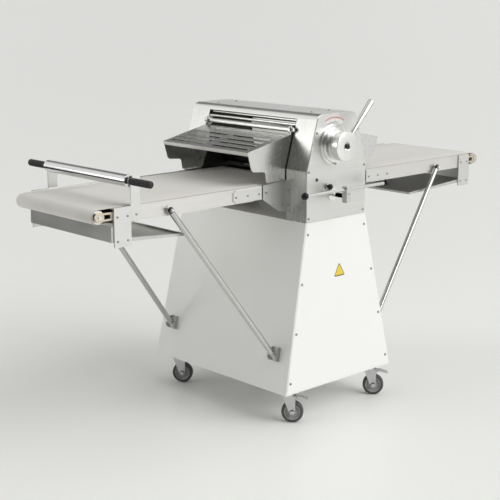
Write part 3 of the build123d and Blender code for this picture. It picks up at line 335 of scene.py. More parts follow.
def streaked_steel(name, tone, along, rough=0.3, streak=0.05):
    """Brushed steel, scratched along one axis, on a tone that drifts a little."""
    made, wire = new_finish(name)
    scratch, broad, smear = brushing(wire, along)
    dark = tuple(part * 0.86 for part in tone)
    light = tuple(min(1.0, part * 1.08) for part in tone)
    colour = wire.mix(0.45 * scratch + 0.35 * broad + 0.2 * smear, dark, light)
    wire.shader(Base_Color=colour, Metallic=1.0,
                Roughness=rough - 0.5 * streak + streak * scratch + 0.08 * smear + 0.06 * broad,
                Normal=wire.bump(scratch + 0.5 * broad, 0.00004, 0.5))
    return made


zinc = streaked_steel("zinc_plate", (0.62, 0.625, 0.63), "Z", 0.22, 0.10)
corners = ("front_left", "front_right", "rear_left", "rear_right")
dress("caster_plates", zinc, 0.8)
for corner in corners:
    dress("caster_fork_" + corner, zinc, 0.5)
for corner in corners[:2]:
    dress("brake_pedal_" + corner, zinc, 0.5)


# ---------------- caster wheels
# A grey rubber tyre moulded on a nylon hub, with a rounded tread and a dished web round the axle
# boss. A hexagon nut and a washer hold the axle bolt on each side of the fork.
def middle_of(node):
    """Middle of a CAD node's box."""
    low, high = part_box(node)
    return (low + high) / 2


def standing(spot, axis):
    """Matrix at a spot, with its Z along an axis."""
    return Matrix.Translation(spot) @ Vector(axis).to_track_quat("Z", "Y").to_matrix().to_4x4()


def new_piece(name, mesh_tool, finish, body, stands_for=(), edge=0.0, angle=35.0):
    """Turns a mesh under construction into a smooth-shaded piece that rides on a body."""
    bmesh.ops.recalc_face_normals(mesh_tool, faces=mesh_tool.faces)
    mesh = bpy.data.meshes.new(name)
    mesh_tool.to_mesh(mesh)
    mesh_tool.free()
    mesh.shade_smooth()
    mesh.set_sharp_from_angle(angle=radians(angle))
    for material in finish if isinstance(finish, (list, tuple)) else [finish]:
        mesh.materials.append(material)
    piece = bpy.data.objects.new(name, mesh)
    bpy.context.scene.collection.objects.link(piece)
    if edge:
        round_edges(piece, edge)
    if body:
        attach(piece, body)
    if stands_for:
        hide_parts(*stands_for)
    return piece


def turn(mesh_tool, outline, matrix, steps=64, lobes=0, closed=False, slot=0):
    """Revolves an outline of (along, radius) in millimetres about a matrix's Z axis.

    The rings whose third number is above 0 are pulled in and out into lobes, as in a screw's socket.
    """
    rings = []
    for along, radius, *lobe in outline:
        depth = lobe[0] if lobe else 0.0
        if radius < 0.001:
            rings.append([mesh_tool.verts.new(matrix @ Vector((0, 0, along * MM)))])
            continue
        ring = []
        for step in range(steps):
            angle = 2 * pi * step / steps
            r = radius * (1 + depth * cos(lobes * angle)) * MM
            ring.append(mesh_tool.verts.new(matrix @ Vector((r * cos(angle), r * sin(angle), along * MM))))
        rings.append(ring)
    pairs = list(zip(rings, rings[1:]))
    if closed:
        pairs.append((rings[-1], rings[0]))
    for low, high in pairs:
        for step in range(steps):
            after = (step + 1) % steps
            rim = dict.fromkeys([low[step % len(low)], low[after % len(low)],
                                 high[after % len(high)], high[step % len(high)]])
            if len(rim) > 2:
                mesh_tool.faces.new(list(rim)).material_index = slot


def fillet_arc(centre, radius, start, end, steps=6):
    """Points of an arc in (along, radius), angles in degrees."""
    return [(centre[0] + radius * cos(radians(start + (end - start) * k / steps)),
             centre[1] + radius * sin(radians(start + (end - start) * k / steps))) for k in range(steps + 1)]


tyre_rubber = mottled("grey_tyre_rubber", (0.05, 0.052, 0.053), (0.10, 0.102, 0.10), (60.0, 4.0),
                      (0.62, 0.2), (900.0, 2.0, 0.00008, 0.4))
hub_nylon = mottled("grey_hub_nylon", (0.34, 0.345, 0.34), (0.42, 0.425, 0.42), (35.0, 3.0), (0.42, 0.1),
                    (700.0, 2.0, 0.00005, 0.3))

tyre_half = 14.0
tyre_r = 40.0
web_r = 30.0
tread_r = 7.0
tyre_outline = (fillet_arc((tyre_half - tread_r, tyre_r - tread_r), tread_r, 90, 0)
                + [(tyre_half, web_r + 1.5), (tyre_half - 1.5, web_r)]
                + [(-tyre_half + 1.5, web_r), (-tyre_half, web_r + 1.5)]
                + fillet_arc((-tyre_half + tread_r, tyre_r - tread_r), tread_r, 180, 90))
web_outline = [(13.5, 5.3), (15.0, 5.8), (15.0, 10.0), (14.2, 11.0), (8.0, 12.5), (6.5, 14.0), (6.0, 23.0),
               (8.0, 25.5), (12.0, 26.5), (12.5, 27.5), (12.5, 29.9)]
web_outline += [(-along, r) for along, r in reversed(web_outline)]
washer_outline = [(0.0, 0.0), (0.0, 10.5), (1.4, 10.5)]
hex_outline = [(1.4, 0.0), (1.4, 7.6), (5.6, 8.4), (6.6, 7.4), (6.6, 0.0)]
fork_half = 19.0 * MM
kingpin_x, kingpin_y = 0.221, 0.308
for corner in corners:
    axle_spot = middle_of("caster_wheel_" + corner)
    kingpin = Vector((kingpin_x if "right" in corner else -kingpin_x,
                      kingpin_y if "rear" in corner else -kingpin_y, axle_spot.z))
    trail = axle_spot - kingpin
    axle = Vector((-trail.y, trail.x, 0)).normalized()
    wheel = bmesh.new()
    turn(wheel, tyre_outline, standing(axle_spot, axle), 72, closed=True, slot=0)
    turn(wheel, web_outline, standing(axle_spot, axle), 48, closed=True, slot=1)
    new_piece("wheel_" + corner, wheel, [tyre_rubber, hub_nylon], "caster_wheel_" + corner,
              ["caster_wheel_" + corner])
    nuts = bmesh.new()
    for out in (-axle, axle):
        turn(nuts, washer_outline, standing(axle_spot + out * fork_half, out), 32)
        turn(nuts, hex_outline, standing(axle_spot + out * fork_half, out), 6)
    new_piece("axle_nuts_" + corner, nuts, zinc, "caster_fork_" + corner, angle=25)

# ---------------- cabinet
# Folded mild-steel sheet with a white powder coat: a shell, two lift-off panels and the floor pan.
# The coat has a faint orange peel and rounds every edge a little.
powder_coat, wire = new_finish("white_powder_coat")
peel = wire.noise(wire.place(), 380.0, 2.0)
drift = wire.noise(wire.place(), 2.2, 3.0)
scuff = wire.noise(wire.place((30.0, 30.0, 4.0)), 1.0, 4.0)
wire.shader(Base_Color=wire.mix(0.6 * drift + 0.4 * scuff, (0.80, 0.80, 0.785), (0.84, 0.84, 0.825)),
            Roughness=0.36 + 0.10 * drift, Coat_Weight=0.08,
            Normal=wire.bump(peel, 0.00008, 0.35))
dress("base_shell", powder_coat, 1.2)
dress("base_panels", powder_coat, 0.8)
dress("base_floor_pan", powder_coat, 0.8)

# ---------------- drive motor
# Gear motor bolted to the floor pan, with the chain that climbs from its sprocket to the lower roller.
# The gear case and the motor are grey enamelled castings.
enamel = mottled("grey_enamel_casting", (0.19, 0.20, 0.21), (0.27, 0.28, 0.285), (12.0, 3.0), (0.42, 0.15),
                 (260.0, 4.0, 0.0002, 0.6), Metallic=0.0)
dress("drive_motor", enamel, 1.0)

# ---------------- screws
# Stainless button-head screws with a star socket, pressed from bar and polished by tumbling. The
# panels' own screws stand where the cabinet and the side plates are drilled for them.
def solids_of(node):
    """Lowest and highest corner of each separate solid in a CAD node."""
    cast = bmesh.new()
    cast.from_mesh(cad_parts[node].data)
    bmesh.ops.remove_doubles(cast, verts=cast.verts, dist=weld_reach)
    seen, found = set(), []
    for start in cast.verts:
        if start in seen:
            continue
        seen.add(start)
        group, queue = [], [start]
        while queue:
            here = queue.pop()
            group.append(here.co.copy())
            for link in here.link_edges:
                other = link.other_vert(here)
                if other not in seen:
                    seen.add(other)
                    queue.append(other)
        found.append((Vector([min(co[k] for co in group) for k in range(3)]),
                      Vector([max(co[k] for co in group) for k in range(3)])))
    cast.free()
    return found


def touch(node, start, direction):
    """Where a straight line from start first meets a CAD node, and the face's normal there."""
    hit, spot, normal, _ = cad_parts[node].ray_cast(Vector(start), Vector(direction))
    if not hit:
        raise ValueError("nothing of " + node + " lies that way")
    return spot, normal


screw_steel = streaked_steel("tumbled_steel", (0.36, 0.36, 0.355), "Z", 0.22, 0.08)
socket_lobes = 6
screw_outline = [(0.6, 0.0), (0.6, 1.5, 0.1), (2.35, 1.75, 0.1), (2.6, 2.1), (2.5, 3.0), (2.1, 3.9),
                 (1.4, 4.6), (0.7, 4.95), (0.0, 5.0), (-0.5, 4.6)]


def put_screws(name, places, body, stands_for=(), size=1.0):
    """Screws whose heads sit at each (spot, outward direction), as one piece on a body."""
    heads = bmesh.new()
    outline = [(point[0] * size, point[1] * size, *point[2:]) for point in screw_outline]
    for spot, out in places:
        turn(heads, outline, standing(spot, out), 24, socket_lobes)
    return new_piece(name, heads, screw_steel, body, stands_for, angle=28)


beside_hole = 6.5 * MM
panel_places = []
for low, high in solids_of("panel_screws"):
    middle = (low + high) / 2
    side = -1 if middle.y < 0 else 1
    node = "side_plates" if middle.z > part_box("base_shell")[1].z else "base_panels"
    beside_x = middle.x + (-beside_hole if middle.x > 0 else beside_hole)
    spot, normal = touch(node, (beside_x, side, middle.z), (0, -side, 0))
    panel_places.append((Vector((middle.x, spot.y, middle.z)), normal))
put_screws("panel_screw_heads", panel_places, "machine", ["panel_screws"])

# ---------------- triangular sign
# A plain yellow triangle of printed foil with a dark rim and rounded corners. It is die-cut and stuck
# on the front panel.
sign_rim = mottled("sign_dark_rim", (0.012, 0.012, 0.012), (0.03, 0.03, 0.028), (80.0, 2.0), (0.4, 0.1))
sign_yellow = mottled("sign_yellow_foil", (0.72, 0.52, 0.03), (0.80, 0.60, 0.06), (60.0, 2.0), (0.35, 0.1))


def rounded(corners_2d, radius, steps=5):
    """Outline whose corners become arcs, from corner points in order."""
    outline = []
    count = len(corners_2d)
    for here in range(count):
        corner_r = radius[here] if isinstance(radius, (list, tuple)) else radius
        point = Vector(corners_2d[here])
        before = (Vector(corners_2d[here - 1]) - point).normalized()
        after = (Vector(corners_2d[(here + 1) % count]) - point).normalized()
        half = acos(max(-1.0, min(1.0, before.dot(after)))) / 2
        if corner_r <= 0 or half > radians(88):
            outline.append(tuple(point))
            continue
        reach = corner_r / tan(half)
        centre = point + (before + after).normalized() * (corner_r / sin(half))
        start, end = point + before * reach - centre, point + after * reach - centre
        swing = pi - 2 * half
        turn_way = 1 if start.x * end.y - start.y * end.x > 0 else -1
        for k in range(steps + 1):
            a = turn_way * swing * k / steps
            outline.append((centre.x + start.x * cos(a) - start.y * sin(a),
                            centre.y + start.x * sin(a) + start.y * cos(a)))
    return outline


def sheet_plate(mesh_tool, outline, matrix, thick, holes=(), slot=0):
    """Flat plate from an outline in millimetres, with holes, from Z = 0 to Z = thick of a matrix."""
    start = len(mesh_tool.faces)
    for level in (0.0, thick):
        rims = []
        for loop in (outline, *holes):
            ring = [mesh_tool.verts.new(matrix @ Vector((x * MM, y * MM, level * MM))) for x, y in loop]
            rims.append(ring)
        edges = [mesh_tool.edges.new((ring[k], ring[(k + 1) % len(ring)])) for ring in rims
                 for k in range(len(ring))]
        if holes:
            bmesh.ops.triangle_fill(mesh_tool, use_beauty=True, use_dissolve=True, edges=edges,
                                    normal=matrix.to_3x3().col[2])
        else:
            mesh_tool.faces.new(rims[0])
        if level == 0.0:
            bottom = rims
    for low, high in zip(bottom, rims):
        for k in range(len(low)):
            after = (k + 1) % len(low)
            mesh_tool.faces.new((low[k], low[after], high[after], high[k]))
    mesh_tool.faces.ensure_lookup_table()
    for face in mesh_tool.faces[start:]:
        face.material_index = slot


def facing(spot, out, up=(0, 0, 1)):
    """Matrix at a spot with Z outward, and Y as near to up as it goes."""
    z = Vector(out).normalized()
    x = Vector(up).cross(z).normalized()
    turned = Matrix((x, z.cross(x), z)).transposed().to_4x4()
    return Matrix.Translation(spot) @ turned


sign_x, sign_z = 0.010, 0.530
sign_half = 29.0
sign_low = -19.0
sign_high = 31.0
foil_share = 0.84
rim_thick = 0.25
foil_thick = 0.1
sign_spot, sign_out = touch("base_panels", (sign_x, -1.0, sign_z), (0, 1, 0))
triangle = [(-sign_half, sign_low), (sign_half, sign_low), (0, sign_high)]
sign = bmesh.new()
sheet_plate(sign, rounded(triangle, 4.0), facing(sign_spot, sign_out), rim_thick, slot=0)
sheet_plate(sign, rounded([(x * foil_share, y * foil_share + 0.4) for x, y in triangle], 2.5),
            facing(sign_spot + sign_out * rim_thick * MM, sign_out), foil_thick, slot=1)
new_piece("triangle_sign", sign, [sign_rim, sign_yellow], "machine")

# ---------------- strut hooks
# Open hooks that the struts' feet sit in, bent from plate, welded and zinc-plated. Each is screwed
# low on one side of the cabinet.
dress("strut_hooks", zinc, 0.5)

# ---------------- side casings
# Two stainless boxes that stand on the cabinet, each folded round a stiff frame plate. They are
# brushed upright. The frame plates inside the mouths carry every bearing; their near-black tone is painted
# shade for the dark inside of the mouths.
casing_steel, wire = new_finish("casing_steel")
scratch, broad, smear = brushing(wire, "Z")
where = wire.node("ShaderNodeTexCoord", output="Object")
across = wire.node("ShaderNodeSeparateXYZ", {}, {0: where}, output="Y")
frame_face_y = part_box("cross_bars")[1].y + 1.2 * MM
outside = wire.math("ABSOLUTE", across, 0.0) > frame_face_y
sheet_tone = wire.mix(0.45 * scratch + 0.35 * broad + 0.2 * smear, (0.60, 0.60, 0.585), (0.75, 0.75, 0.735))
# The frame plates are dull steel, darkened to near black: painted shade for the dark inside of the mouths.
frame_painted_shade = wire.mix(0.5 * scratch + 0.5 * smear, (0.03, 0.03, 0.029), (0.07, 0.07, 0.068))
wire.shader(Base_Color=wire.mix(outside, frame_painted_shade, sheet_tone), Metallic=1.0,
            Roughness=0.36 - 0.18 * outside + 0.06 * scratch + 0.08 * smear + 0.06 * broad,
            Normal=wire.bump(scratch + 0.5 * broad, 0.00004, 0.5))
dress("side_casings", casing_steel, 0.8)

# ---------------- bearings and tie bars
# Cast and bored blocks bolted inside the casings, the machined blocks that slide with the upper
# roller, and the bright ground bars that tie the two casings together.
bright_bar = streaked_steel("bright_ground_bar", (0.66, 0.66, 0.65), "Y", 0.13, 0.06)
machined = streaked_steel("machined_steel", (0.48, 0.485, 0.48), "Y", 0.34, 0.14)
dress("roller_bearings", enamel, 0.8)
dress("upper_bearing_blocks", machined, 0.4)
dress("cross_bars", bright_bar, 0.8, flat=False)

# ---------------- rollers
# Steel sheeting rollers and belt drive rollers, turned, hard-chromed and ground round. Their chrome
# is given a dark tone. They run in the bearing blocks.
chrome = streaked_steel("hard_chrome", (0.70, 0.705, 0.71), "Y", 0.12, 0.05)
roller_chrome = streaked_steel("dark_toned_chrome", (0.24, 0.24, 0.24), "Y", 0.22, 0.06)
for node in ("lower_roller", "upper_roller", "drive_roller_left", "drive_roller_right"):
    dress(node, roller_chrome, 1.0, flat=False)

# ---------------- slider beds in the head
# Stainless strips, bent from sheet, that carry the belts' inner ends, and the scraper bars beside the
# lower roller. All are screwed between the casings.
bed_steel = streaked_steel("bed_steel", (0.66, 0.66, 0.65), "X", 0.28)
dress("head_beds", bed_steel, 0.4)

# ---------------- side plates
# Laser-cut stainless plates with a fine satin grain, one closing each casing. The front one has a
# small black plug in a spare hole.
satin = streaked_steel("satin_plate", (0.70, 0.70, 0.685), "X", 0.30, 0.06)
dress("side_plates", satin, 0.6)
plug_black = mottled("black_plug", (0.012, 0.012, 0.012), (0.03, 0.03, 0.03), (500.0, 2.0), (0.35, 0.1),
                     (500.0, 2.0, 0.00005, 0.3))
plug_x, plug_z = -0.104, 0.875
plug = bmesh.new()
turn(plug, [(0.0, 6.2), (1.2, 6.0), (2.0, 5.0), (2.4, 3.4), (1.9, 1.6), (1.8, 0.0)],
     standing(*touch("side_plates", (plug_x, -1.0, plug_z), (0, 1, 0))), 32)
new_piece("spare_hole_plug", plug, plug_black, "machine")

# ---------------- top cover
# One stainless sheet rolled over both casings and brushed along its length, held by a screw at each
# corner of its flat.
cover_steel = streaked_steel("cover_steel", (0.80, 0.80, 0.785), "Y", 0.22, 0.07)
dress("top_cover", cover_steel, 0.6)
cover_screw_x, cover_screw_y = 0.045, 0.248
cover_screws = [touch("top_cover", (x, y, 2.0), (0, 0, -1)) for x in (-cover_screw_x, cover_screw_x)
                for y in (-cover_screw_y, cover_screw_y)]
put_screws("cover_screws", cover_screws, "machine", size=0.9)

# ---------------- dial
# Turned aluminium: a fixed flange with its index pin, and a stepped hub that the tapered steel lever
# is screwed into. Every face shows the lathe's rings.
dial_low, dial_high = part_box("gap_hub")
dial_x, _, dial_z = middle_of("gap_hub")
turned_aluminium, wire = new_finish("turned_aluminium")
offset = wire.node("ShaderNodeVectorMath", {"operation": "SUBTRACT"},
                   {0: wire.node("ShaderNodeTexCoord", output="Object"), 1: (dial_x, 0.0, dial_z)})
flat_part = wire.node("ShaderNodeVectorMath", {"operation": "MULTIPLY"}, {0: offset, 1: (1.0, 0.0, 1.0)})
radius = wire.node("ShaderNodeVectorMath", {"operation": "LENGTH"}, {0: flat_part}, output="Value")
depth = wire.node("ShaderNodeSeparateXYZ", {}, {0: offset}, output="Y")
cut = wire.node("ShaderNodeCombineXYZ", {}, {"X": radius, "Y": depth})
rings = wire.noise(cut, 2600.0, 2.0)
broad = wire.noise(cut, 180.0, 2.0)
wire.shader(Base_Color=wire.mix(0.6 * rings + 0.4 * broad, (0.757, 0.757, 0.744), (0.86, 0.86, 0.845)),
            Metallic=1.0, Roughness=0.19 + 0.10 * rings + 0.06 * broad,
            Normal=wire.bump(rings, 0.00003, 0.5))
dress("front_bezels", turned_aluminium, 0.8)
dress("gap_shaft", machined, 0.3, flat=False)
hub_face_y = -dial_low.y / MM
hub_back_y = -dial_high.y / MM
hub_r = (dial_high.x - dial_low.x) / 2 / MM
rim_r = 53.0
hub_bore_r = 11.0
from_back = [(0.0, hub_bore_r), (0.0, hub_r - 1.2), (1.0, hub_r), (7.6, hub_r), (8.8, hub_r - 1.2),
             (9.4, 49.5), (10.2, 47.0), (14.0, 47.0), (15.0, 49.0), (15.4, rim_r - 1.0), (16.2, rim_r),
             (21.0, rim_r), (21.8, rim_r - 0.8), (22.0, 50.2), (22.6, 49.0), (24.4, 49.0), (25.0, 50.2),
             (25.2, rim_r - 0.8), (26.2, rim_r)]
from_face = [(2.2, rim_r), (1.2, rim_r - 0.5), (0.4, rim_r - 1.4), (0.0, rim_r - 2.6), (0.0, 15.6),
             (0.9, 14.4), (1.4, 14.0), (12.0, 14.0), (12.0, hub_bore_r)]
hub_outline = [(hub_back_y + depth, r) for depth, r in from_back]
hub_outline += [(hub_face_y - depth, r) for depth, r in from_face]
hub = bmesh.new()
turn(hub, hub_outline, standing((dial_x, 0, dial_z), (0, -1, 0)), 128, closed=True)
new_piece("dial_hub", hub, turned_aluminium, "gap_dial", ["gap_hub"], angle=24)
socket_screw = bmesh.new()
turn(socket_screw, [(-11.5, 0.0), (-11.5, 3.9, 0.06), (-5.2, 4.1, 0.06), (-4.9, 8.0), (-5.4, 9.0),
                    (-11.9, 9.0), (-11.9, 0.0)],
     standing((dial_x, -hub_face_y * MM, dial_z), (0, -1, 0)), 36, socket_lobes)
new_piece("dial_centre_screw", socket_screw, plug_black, "gap_dial", angle=24)

lever_low, lever_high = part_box("gap_lever")
lever_spot = Vector((dial_x, middle_of("gap_lever").y, dial_z))
lever_end_r = (lever_high.y - lever_low.y) / 2 / MM
lever_axis = Vector((0.688, 0.0, 0.725)).normalized()
lever_len = 206.0
lever_root = 46.0
lever_outline = [(lever_root, 8.0), (rim_r + 0.5, 8.0), (rim_r + 1.5, 8.9), (rim_r + 3.0, 9.1),
                 (lever_len - 4.0, lever_end_r)]
lever_outline += fillet_arc((lever_len - 4.2, lever_end_r - 4.2), 4.2, 80, 0, 6) + [(lever_len, 0.0)]
lever = bmesh.new()
turn(lever, lever_outline, standing(lever_spot, lever_axis), 64)
new_piece("dial_lever", lever, bright_bar, "gap_dial", ["gap_lever"], angle=28)

# ---------------- dial scale
# An arc of printed foil stuck on the side plate above the dial, with a red band, evenly spaced ticks
# and plain numbers.
scale_white = mottled("scale_white_foil", (0.70, 0.69, 0.67), (0.78, 0.77, 0.75), (90.0, 2.0), (0.34, 0.1))
scale_red = mottled("scale_red_ink", (0.42, 0.05, 0.045), (0.52, 0.08, 0.07), (90.0, 2.0), (0.36, 0.1))


def ring_part(inner, outer, start, end, steps=40):
    """Outline of a piece of a ring, in degrees from straight up, clockwise seen from the front."""
    fan = [radians(start + (end - start) * k / steps) for k in range(steps + 1)]
    return ([(outer * sin(a), outer * cos(a)) for a in fan]
            + [(inner * sin(a), inner * cos(a)) for a in reversed(fan)])


scale_inner, scale_outer = 79.0, 101.0
scale_start, scale_end = -30.0, 35.0
foil_thick = 0.2
ink_thick = 0.06
ticks = 20
number_size = 5.5
scale_spot, scale_out = touch("side_plates", (dial_x - 0.09, -1.0, dial_z), (0, 1, 0))
scale_place = facing(Vector((dial_x, scale_spot.y, dial_z)), scale_out)
printed = scale_place @ Matrix.Translation((0, 0, foil_thick * MM))
tick_angles = [scale_start + 4 + (scale_end - scale_start - 8) * tick / ticks for tick in range(ticks + 1)]
scale = bmesh.new()
sheet_plate(scale, ring_part(scale_inner, scale_outer, scale_start, scale_end), scale_place, foil_thick)
inner_line = ring_part(scale_inner + 1.6, scale_inner + 3.4, scale_start + 4, scale_end - 22)
sheet_plate(scale, inner_line, printed, ink_thick, slot=2)
red_band = ring_part(scale_outer - 4.6, scale_outer - 1.4, scale_start + 2, scale_end - 2)
sheet_plate(scale, red_band, printed, ink_thick, slot=1)
for tick, at in enumerate(tick_angles):
    tick_len = 5.0 if tick % 5 == 0 else 3.0
    bar = ring_part(scale_outer - 5.6 - tick_len, scale_outer - 5.6, at - 0.28, at + 0.28, 1)
    sheet_plate(scale, bar, printed, ink_thick, slot=2)
new_piece("dial_scale", scale, [scale_white, scale_red, sign_rim], "machine")
for tick in range(0, ticks + 1, 5):
    number = bpy.data.objects.new("scale_number_%d" % tick, bpy.data.curves.new("scale_number", "FONT"))
    number.data.body = str(tick)
    number.data.size = number_size * MM
    number.data.extrude = ink_thick / 2 * MM
    number.data.align_x = "CENTER"
    number.data.align_y = "CENTER"
    number.data.materials.append(sign_rim)
    bpy.context.scene.collection.objects.link(number)
    swung = printed @ Matrix.Rotation(-radians(tick_angles[tick]), 4, "Z")
    number.matrix_world = swung @ Matrix.Translation((0, (scale_inner + 7.4) * MM, 0.04 * MM))
    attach(number, "machine")

# ---------------- reversing lever
# A shaft through the front casing with a milled block, and a bright rod whose ends have ball knobs of
# glossy black phenolic. A grub screw in the block clamps the rod.
dress("direction_lever", bright_bar, 0.6)
phenolic = mottled("black_phenolic", (0.003, 0.003, 0.003), (0.008, 0.008, 0.008), (220.0, 3.0), (0.22, 0.08),
                   (220.0, 3.0, 0.00003, 0.3), Specular_IOR_Level=0.25)
knob_r = 13.0
grub_z = 0.826
knob_outline = ([(-knob_r + 0.6, 0.0)] + fillet_arc((0, 0), knob_r, 168, 36, 20)
                + [(11.4, 6.6), (12.4, 6.4), (12.8, 6.0)])
block_x = middle_of("direction_lever").x
knobs = bmesh.new()
for low, high in solids_of("lever_balls"):
    middle = (low + high) / 2
    turn(knobs, knob_outline, standing(middle, (1 if middle.x < block_x else -1, 0, 0)), 48)
new_piece("reversing_knobs", knobs, phenolic, "direction_lever", ["lever_balls"], angle=30)
grub = touch("direction_lever", (block_x, -1.0, grub_z), (0, 1, 0))
put_screws("block_grub_screw", [grub], "direction_lever", size=0.7)

# ---------------- stop button
# A moulded mushroom head of glossy black plastic on a short stem. It stands in a chromed collar that
# clamps it in the side plate.
button_x, _, button_z = middle_of("stop_button")
button_face = -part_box("stop_button")[0].y / MM
plate_face = -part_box("side_plates")[0].y / MM
button_place = standing((button_x, 0, button_z), (0, -1, 0))
button = bmesh.new()
turn(button, [(plate_face - 11.0, 0.0), (plate_face - 11.0, 5.8), (button_face - 9.6, 5.8),
              (button_face - 9.6, 9.4), (button_face - 9.0, 10.6), (button_face - 7.6, 11.0),
              (button_face - 5.5, 10.9), (button_face - 3.0, 9.4), (button_face - 1.2, 6.6),
              (button_face - 0.2, 3.2), (button_face, 0.0)], button_place, 48)
new_piece("stop_button_head", button, phenolic, "stop_button", ["stop_button"])
collar = bmesh.new()
turn(collar, [(plate_face, 6.4), (plate_face, 9.5), (plate_face + 1.0, 9.5), (plate_face + 1.4, 9.0),
              (plate_face + 1.4, 6.4)], button_place, 48, closed=True)
new_piece("stop_button_collar", collar, chrome, "machine", angle=28)

# ---------------- guards
# A cover over each mouth: a slotted top sheet with its front edge folded down, and a stepped wing at
# each side with an ear on the shaft. Polished stainless steel, laser-cut, with rounded slots.
guard_steel = streaked_steel("guard_steel", (0.70, 0.70, 0.685), "Y", 0.19, 0.05)
sides = (("left", -1), ("right", 1))
guard_in = Vector((133, 1028))
guard_tip = Vector((340, 982))
wing_points = [guard_in, (128, 1056), (108, 1056), (105, 1034), (120, 940), (150, 868), (250, 868),
               (256, 902), (264, 908), (312, 912), (322, 920), guard_tip]
wing_radii = [0, 6, 8, 12, 10, 5, 5, 4, 5, 6, 6, 0]
sheet_t = 1.5
lip_points = [guard_tip, guard_tip + Vector((-4, -13)), guard_tip + Vector((-6, -13)),
              guard_tip + Vector((-2.4, -1.6))]
slot_half = 7.0
slot_r = 2.0
slot_xs = [203.0, 239.0, 275.0, 311.0]
slot_ends = [(-199, -8), (26, 217)]
ear_r = 9.2
collar_outline = [(0.0, 9.1), (0.0, 15.5), (1.0, 16.5), (9.0, 16.5), (10.0, 15.5), (10.0, 9.1)]
collar_gap = 2.4
guard_run = (guard_tip - guard_in).length
slope = (guard_tip - guard_in) / guard_run
upright = Matrix(((1, 0, 0, 0), (0, 0, -1, 0), (0, 1, 0, 0), (0, 0, 0, 1)))
for side_name, side in sides:
    dress("guard_shaft_" + side_name, bright_bar, 0.5, flat=False)
    shaft = middle_of("guard_shaft_" + side_name) / MM
    half_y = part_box("guard_" + side_name)[1].y / MM
    inner_y = half_y - sheet_t
    turns = [2 * pi * k / 36 for k in range(36)]
    ear_hole = [(shaft.x + ear_r * cos(a), shaft.z + ear_r * sin(a)) for a in turns]
    wing = rounded([(x * side, z) for x, z in wing_points], wing_radii)
    guard = bmesh.new()
    for y in (-inner_y, half_y):
        sheet_plate(guard, wing, Matrix.Translation((0, y * MM, 0)) @ upright, sheet_t, [ear_hole])
    down_slope = Vector((slope.x * side, 0, slope.y))
    top_out = Vector((-slope.y * side, 0, slope.x))
    top_place = Matrix((down_slope, Vector((0, 1, 0)), top_out)).transposed().to_4x4()
    top_place.translation = Vector((guard_in.x * side, 0, guard_in.y)) * MM - top_out * sheet_t * MM
    slots = []
    for slot_x in slot_xs:
        middle = (slot_x - guard_in.x) / slope.x
        low, high = middle - slot_half, middle + slot_half
        for y0, y1 in slot_ends:
            slots.append(rounded([(low, y0), (high, y0), (high, y1), (low, y1)], slot_r, 4))
    top = [(0, -inner_y), (guard_run, -inner_y), (guard_run, inner_y), (0, inner_y)]
    sheet_plate(guard, top, top_place, sheet_t, slots)
    lip = [(x * side, z) for x, z in lip_points]
    sheet_plate(guard, lip, Matrix.Translation((0, inner_y * MM, 0)) @ upright, 2 * inner_y)
    new_piece("guard_cover_" + side_name, guard, guard_steel, "guard_" + side_name, ["guard_" + side_name],
              0.35)
    collars = bmesh.new()
    for y_side in (-1, 1):
        spot = Vector((shaft.x, y_side * (half_y - collar_gap), shaft.z)) * MM
        turn(collars, collar_outline, standing(spot, (0, -y_side, 0)), 48, closed=True)
    new_piece("guard_collars_" + side_name, collars, bright_bar, "guard_shaft_" + side_name, angle=28)

# ---------------- hinge brackets
# Angle brackets cut and welded from stainless plate, bolted to the casings, with the tables' hinge pins.
bracket_steel = streaked_steel("bracket_plate", (0.54, 0.54, 0.53), "X", 0.24)
dress("hinge_brackets", bracket_steel, 0.7)
side_bolt_x, side_bolt_z = 0.253, 0.835
face_bolt_x, face_bolt_y = 0.163, 0.250
bolts = []
for _, side in sides:
    for y_side in (-1, 1):
        bolts.append(touch("hinge_brackets", (side * side_bolt_x, y_side, side_bolt_z), (0, -y_side, 0)))
        for z in (0.780, 0.833):
            start = (side * face_bolt_x, y_side * face_bolt_y, z)
            bolts.append(touch("hinge_brackets", start, (-side, 0, 0)))
put_screws("bracket_bolts", bolts, "machine", size=1.15)

# ---------------- table rails and side plates
# Drawn aluminium rails, satin anodised, with a turned-in flange along the bottom. Flat stainless end
# plates and hinge straps are screwed to their outsides.
rail_alu = streaked_steel("anodised_rail", (0.70, 0.69, 0.665), "X", 0.36, 0.05)
end_plate_screws = [(x, z) for x in (0.903, 0.863) for z in (0.832, 0.754)]
strap_screws = [(x, 0.834) for x in (0.397, 0.342, 0.289)]
for side_name, side in sides:
    plates = "table_side_plates_" + side_name
    dress("table_rails_" + side_name, rail_alu, 0.5)
    dress(plates, satin, 0.6)
    plate_screws = [touch(plates, (x * side, y_side, z), (0, -y_side, 0)) for y_side in (-1, 1)
                    for x, z in end_plate_screws + strap_screws]
    put_screws("table_screws_" + side_name, plate_screws, "table_" + side_name, size=0.85)

# ---------------- slider beds
# Stainless sheet that carries each belt's upper run. It is brushed along the table, and its edges rest
# on the rails.
for side_name, _ in sides:
    dress("slider_bed_" + side_name, bed_steel, 0.4)

# ---------------- end rollers
# Steel idlers at the tables' ends that turn the belts round. They are turned, chromed and ground, and
# run on thin journals in the tensioners.
for side_name, _ in sides:
    dress("end_roller_" + side_name, chrome, 0.8, flat=False)

